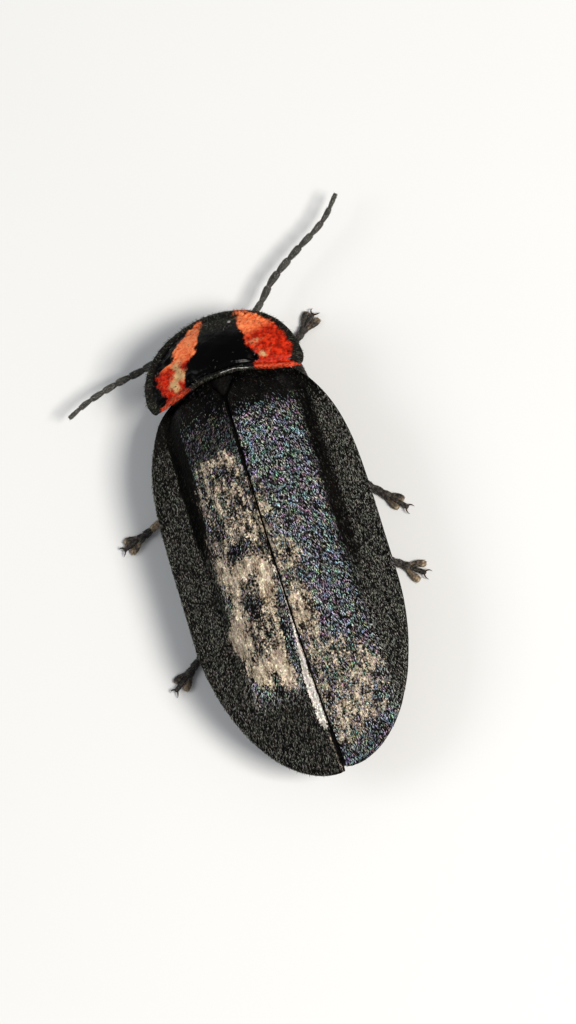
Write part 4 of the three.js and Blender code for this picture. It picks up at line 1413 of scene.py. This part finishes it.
for side_name, side_sign in SIDES.items():
    build_wing_case(f"elytron_{side_name}", side_sign)
build_case_down("down_right_a", SIDES["right"], seed=21)
build_case_down("down_right_b", SIDES["right"], seed=23)
build_case_down("down_left_a", SIDES["left"], seed=22)
build_case_down("down_left_b", SIDES["left"], seed=24)
build_pronotum()
build_pronotum_down()
build_collar()
build_scutellum()
build_suture_seam()
build_body()
build_head()
for number, (leg_name, leg_points) in enumerate(LEGS.items()):
    build_leg(leg_name, leg_points, 100 + number)
for number, (side_name, feeler_points) in enumerate(ANTENNAE.items()):
    build_antenna(side_name, feeler_points, 120 + number)


# Camera: looks down, tilted back 15 degrees and 8 degrees to the beetle's right

TILT_BACK = 15.0
TILT_RIGHT = 8.0
AXIS_LEAN = 17.0
CAMERA_DISTANCE = 120.0
FRAME_SIZE = (576, 1024)
MM_PER_PIXEL = 0.02734
AIM_POINT = np.array([0.0, -5.03, 2.05])
AIM_PIXEL = np.array([277.3, 551.4])
SENSOR_HEIGHT = 36.0
NEAR_CLIP = 0.005
FAR_CLIP = 5.0
FLOOR_HALF = 2.0


def add_camera():
    """A long lens that looks along the tilted line, turned so that the body's axis leans in the picture."""
    back = unit(np.array([np.tan(np.radians(TILT_RIGHT)), -np.tan(np.radians(TILT_BACK)), 1.0]))
    forward = np.array([0.0, 1.0, 0.0])
    forward = unit(forward - forward @ back * back)
    sideways = np.cross(forward, back)
    lean = np.radians(AXIS_LEAN)
    up = forward * np.cos(lean) + sideways * np.sin(lean)
    right = sideways * np.cos(lean) - forward * np.sin(lean)
    off = (AIM_PIXEL - np.array(FRAME_SIZE) / 2) * MM_PER_PIXEL
    place = AIM_POINT + back * CAMERA_DISTANCE - right * off[0] + up * off[1]
    data = bpy.data.cameras.new("camera")
    data.sensor_fit = "VERTICAL"
    data.sensor_height = SENSOR_HEIGHT
    data.lens = SENSOR_HEIGHT * CAMERA_DISTANCE / (FRAME_SIZE[1] * MM_PER_PIXEL)
    data.clip_start, data.clip_end = NEAR_CLIP, FAR_CLIP
    camera = bpy.data.objects.new("camera", data)
    turn = Matrix((right, up, back)).transposed().to_4x4()
    camera.matrix_world = Matrix.Translation(Vector((place + ORIGIN) * METRES)) @ turn
    bpy.context.scene.collection.objects.link(camera)
    bpy.context.scene.camera = camera


def add_light(name, place, size, power, colour):
    """A square soft light at a place in millimetres, aimed at the wing cases."""
    data = bpy.data.lights.new(name, "AREA")
    data.size, data.energy, data.color = size * METRES, power, colour
    lamp = bpy.data.objects.new(name, data)
    spot = Vector((np.array(place) + ORIGIN) * METRES)
    aim = Vector((AIM_POINT + ORIGIN) * METRES)
    lamp.matrix_world = Matrix.Translation(spot) @ (spot - aim).to_track_quat("Z", "Y").to_matrix().to_4x4()
    bpy.context.scene.collection.objects.link(lamp)


def add_stage():
    """A wide pale floor with a faint cloudiness, and a soft cool sky."""
    made, tree, shader, at = new_material("floor", roughness=0.85, specular=0.2)
    cloud = noise(tree, at, 60.0, 3, 0.5)
    colour = colour_mix(tree, cloud, (0.72, 0.72, 0.7), (0.76, 0.755, 0.74))
    tree.links.new(colour, shader.inputs["Base Color"])
    data = bpy.data.meshes.new("floor")
    corners = [(x * FLOOR_HALF, y * FLOOR_HALF, 0) for x, y in ((-1, -1), (1, -1), (1, 1), (-1, 1))]
    data.from_pydata(corners, [], [(0, 1, 2, 3)])
    data.materials.append(made)
    floor = bpy.data.objects.new("floor", data)
    bpy.context.scene.collection.objects.link(floor)
    world = bpy.data.worlds.new("studio")
    world.use_nodes = True
    sky = world.node_tree.nodes["Background"].inputs
    sky["Color"].default_value = (0.9, 0.93, 1.0, 1)
    sky["Strength"].default_value = 0.3
    bpy.context.scene.world = world
    bpy.context.scene.view_settings.view_transform = "Standard"


add_camera()
add_stage()
add_light("key light", (95, -75, 150), size=60, power=0.43, colour=(1.0, 0.97, 0.93))
add_light("fill light", (-120, 40, 120), size=90, power=0.08, colour=(0.92, 0.96, 1.0))
